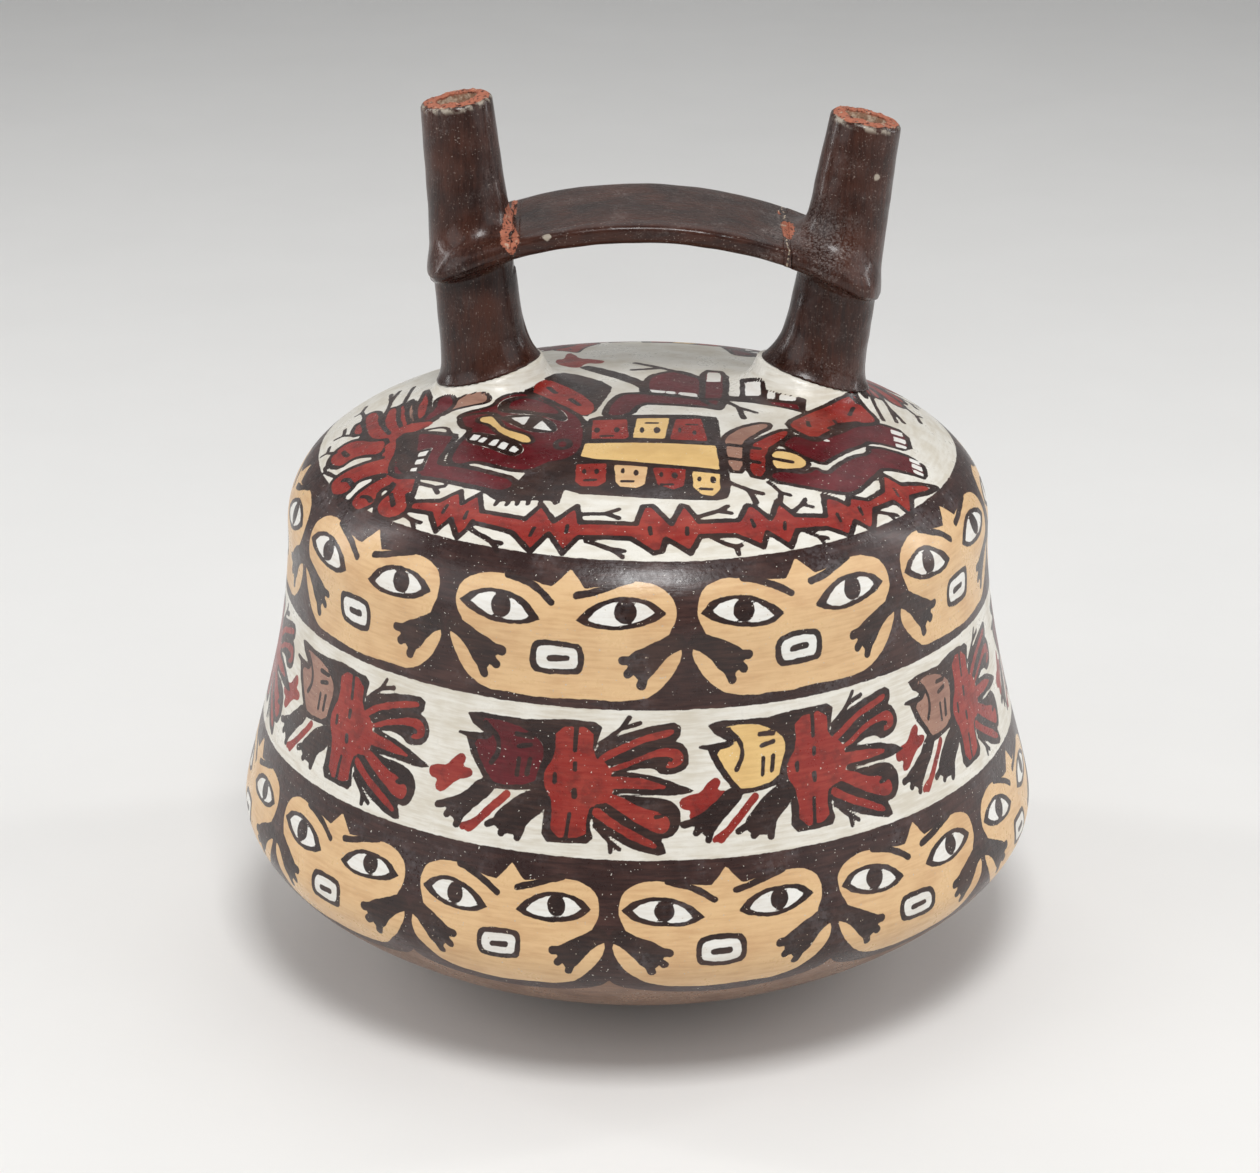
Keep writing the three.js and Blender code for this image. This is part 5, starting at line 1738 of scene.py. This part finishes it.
# The floor in metres: half its width, how far it runs back, the backdrop's height and the radius of the
# bend
FLOOR_HALF, FLOOR_BEHIND, BACKDROP_RISE, FLOOR_BEND = 2.5, 1.6, 2.2, 0.5


def make_lights():
    """The lamps and a dim, slightly blue sky."""
    for settings in LAMPS:
        lamp(*settings)
    world = bpy.data.worlds.new("studio")
    world.use_nodes = True
    bpy.context.scene.world = world
    shade = world.node_tree.nodes["Background"]
    shade.inputs["Color"].default_value = SKY_COLOUR
    shade.inputs["Strength"].default_value = SKY_STRENGTH


def make_floor():
    """A pale floor that curves up far behind into a backdrop."""
    turn = np.linspace(0, np.pi / 2, 12)
    depth = np.r_[-FLOOR_HALF, FLOOR_BEHIND + FLOOR_BEND * np.sin(turn), FLOOR_BEHIND + FLOOR_BEND]
    height = np.r_[0, FLOOR_BEND * (1 - np.cos(turn)), BACKDROP_RISE]
    points = [(x, y, z) for y, z in zip(depth, height) for x in (-FLOOR_HALF, FLOOR_HALF)]
    faces = [(2 * i, 2 * i + 1, 2 * i + 3, 2 * i + 2) for i in range(len(depth) - 1)]
    mesh = bpy.data.meshes.new("floor")
    mesh.from_pydata(points, [], faces)
    mesh.polygons.foreach_set("use_smooth", np.ones(len(faces), bool))
    n = Nodes("floor")
    shade = n.mix(n.noise(60, 3), (0.80, 0.79, 0.77, 1), (0.84, 0.83, 0.81, 1))
    mesh.materials.append(n.finish(shade, 0.9, n.bump(n.noise(3, 3), 0.05), specular=0.2))
    floor = bpy.data.objects.new("floor", mesh)
    bpy.context.collection.objects.link(floor)


bpy.context.scene.view_settings.view_transform = "Standard"
make_camera()
make_lights()
make_floor()

slip = painted_slip()
wall_course("base_bowl", 0, BOWL_TOP, slip, coarse_to=-33)
wall_course("lower_wall_course", BOWL_TOP, LOWER_TOP, slip)
wall_course("middle_wall_course", LOWER_TOP, MIDDLE_TOP, slip)
wall_course("upper_wall_course", MIDDLE_TOP, UPPER_TOP, slip)
shoulder_dome(slip)

crack_finish = dark_slip("crack_slip", part="break")
for side_name, spout in (("left", LEFT), ("right", RIGHT)):
    spout_with_root(
        f"{side_name}_spout_and_root",
        spout,
        dark_slip(f"dark_slip_{side_name}", spout["lean"]),
        [f"{side_name}_spout", f"{side_name}_spout_collar", f"{side_name}_bridge_root"],
    )
    inner_end = crack_x(spout) - spout["side"] * CRACK_WIDTH
    low_x, high_x = sorted([crack_x(spout), inner_end])
    bridge_bar(
        f"{side_name}_crack_clay", low_x, high_x, 12, 220,
        crack_finish, [f"{side_name}_crack_fill"],
    )
bridge_bar(
    "strap", crack_x(LEFT) + CRACK_WIDTH, crack_x(RIGHT) - CRACK_WIDTH, 150, 180,
    dark_slip("dark_slip_strap", part="strap"), ["bridge_strap"],
)
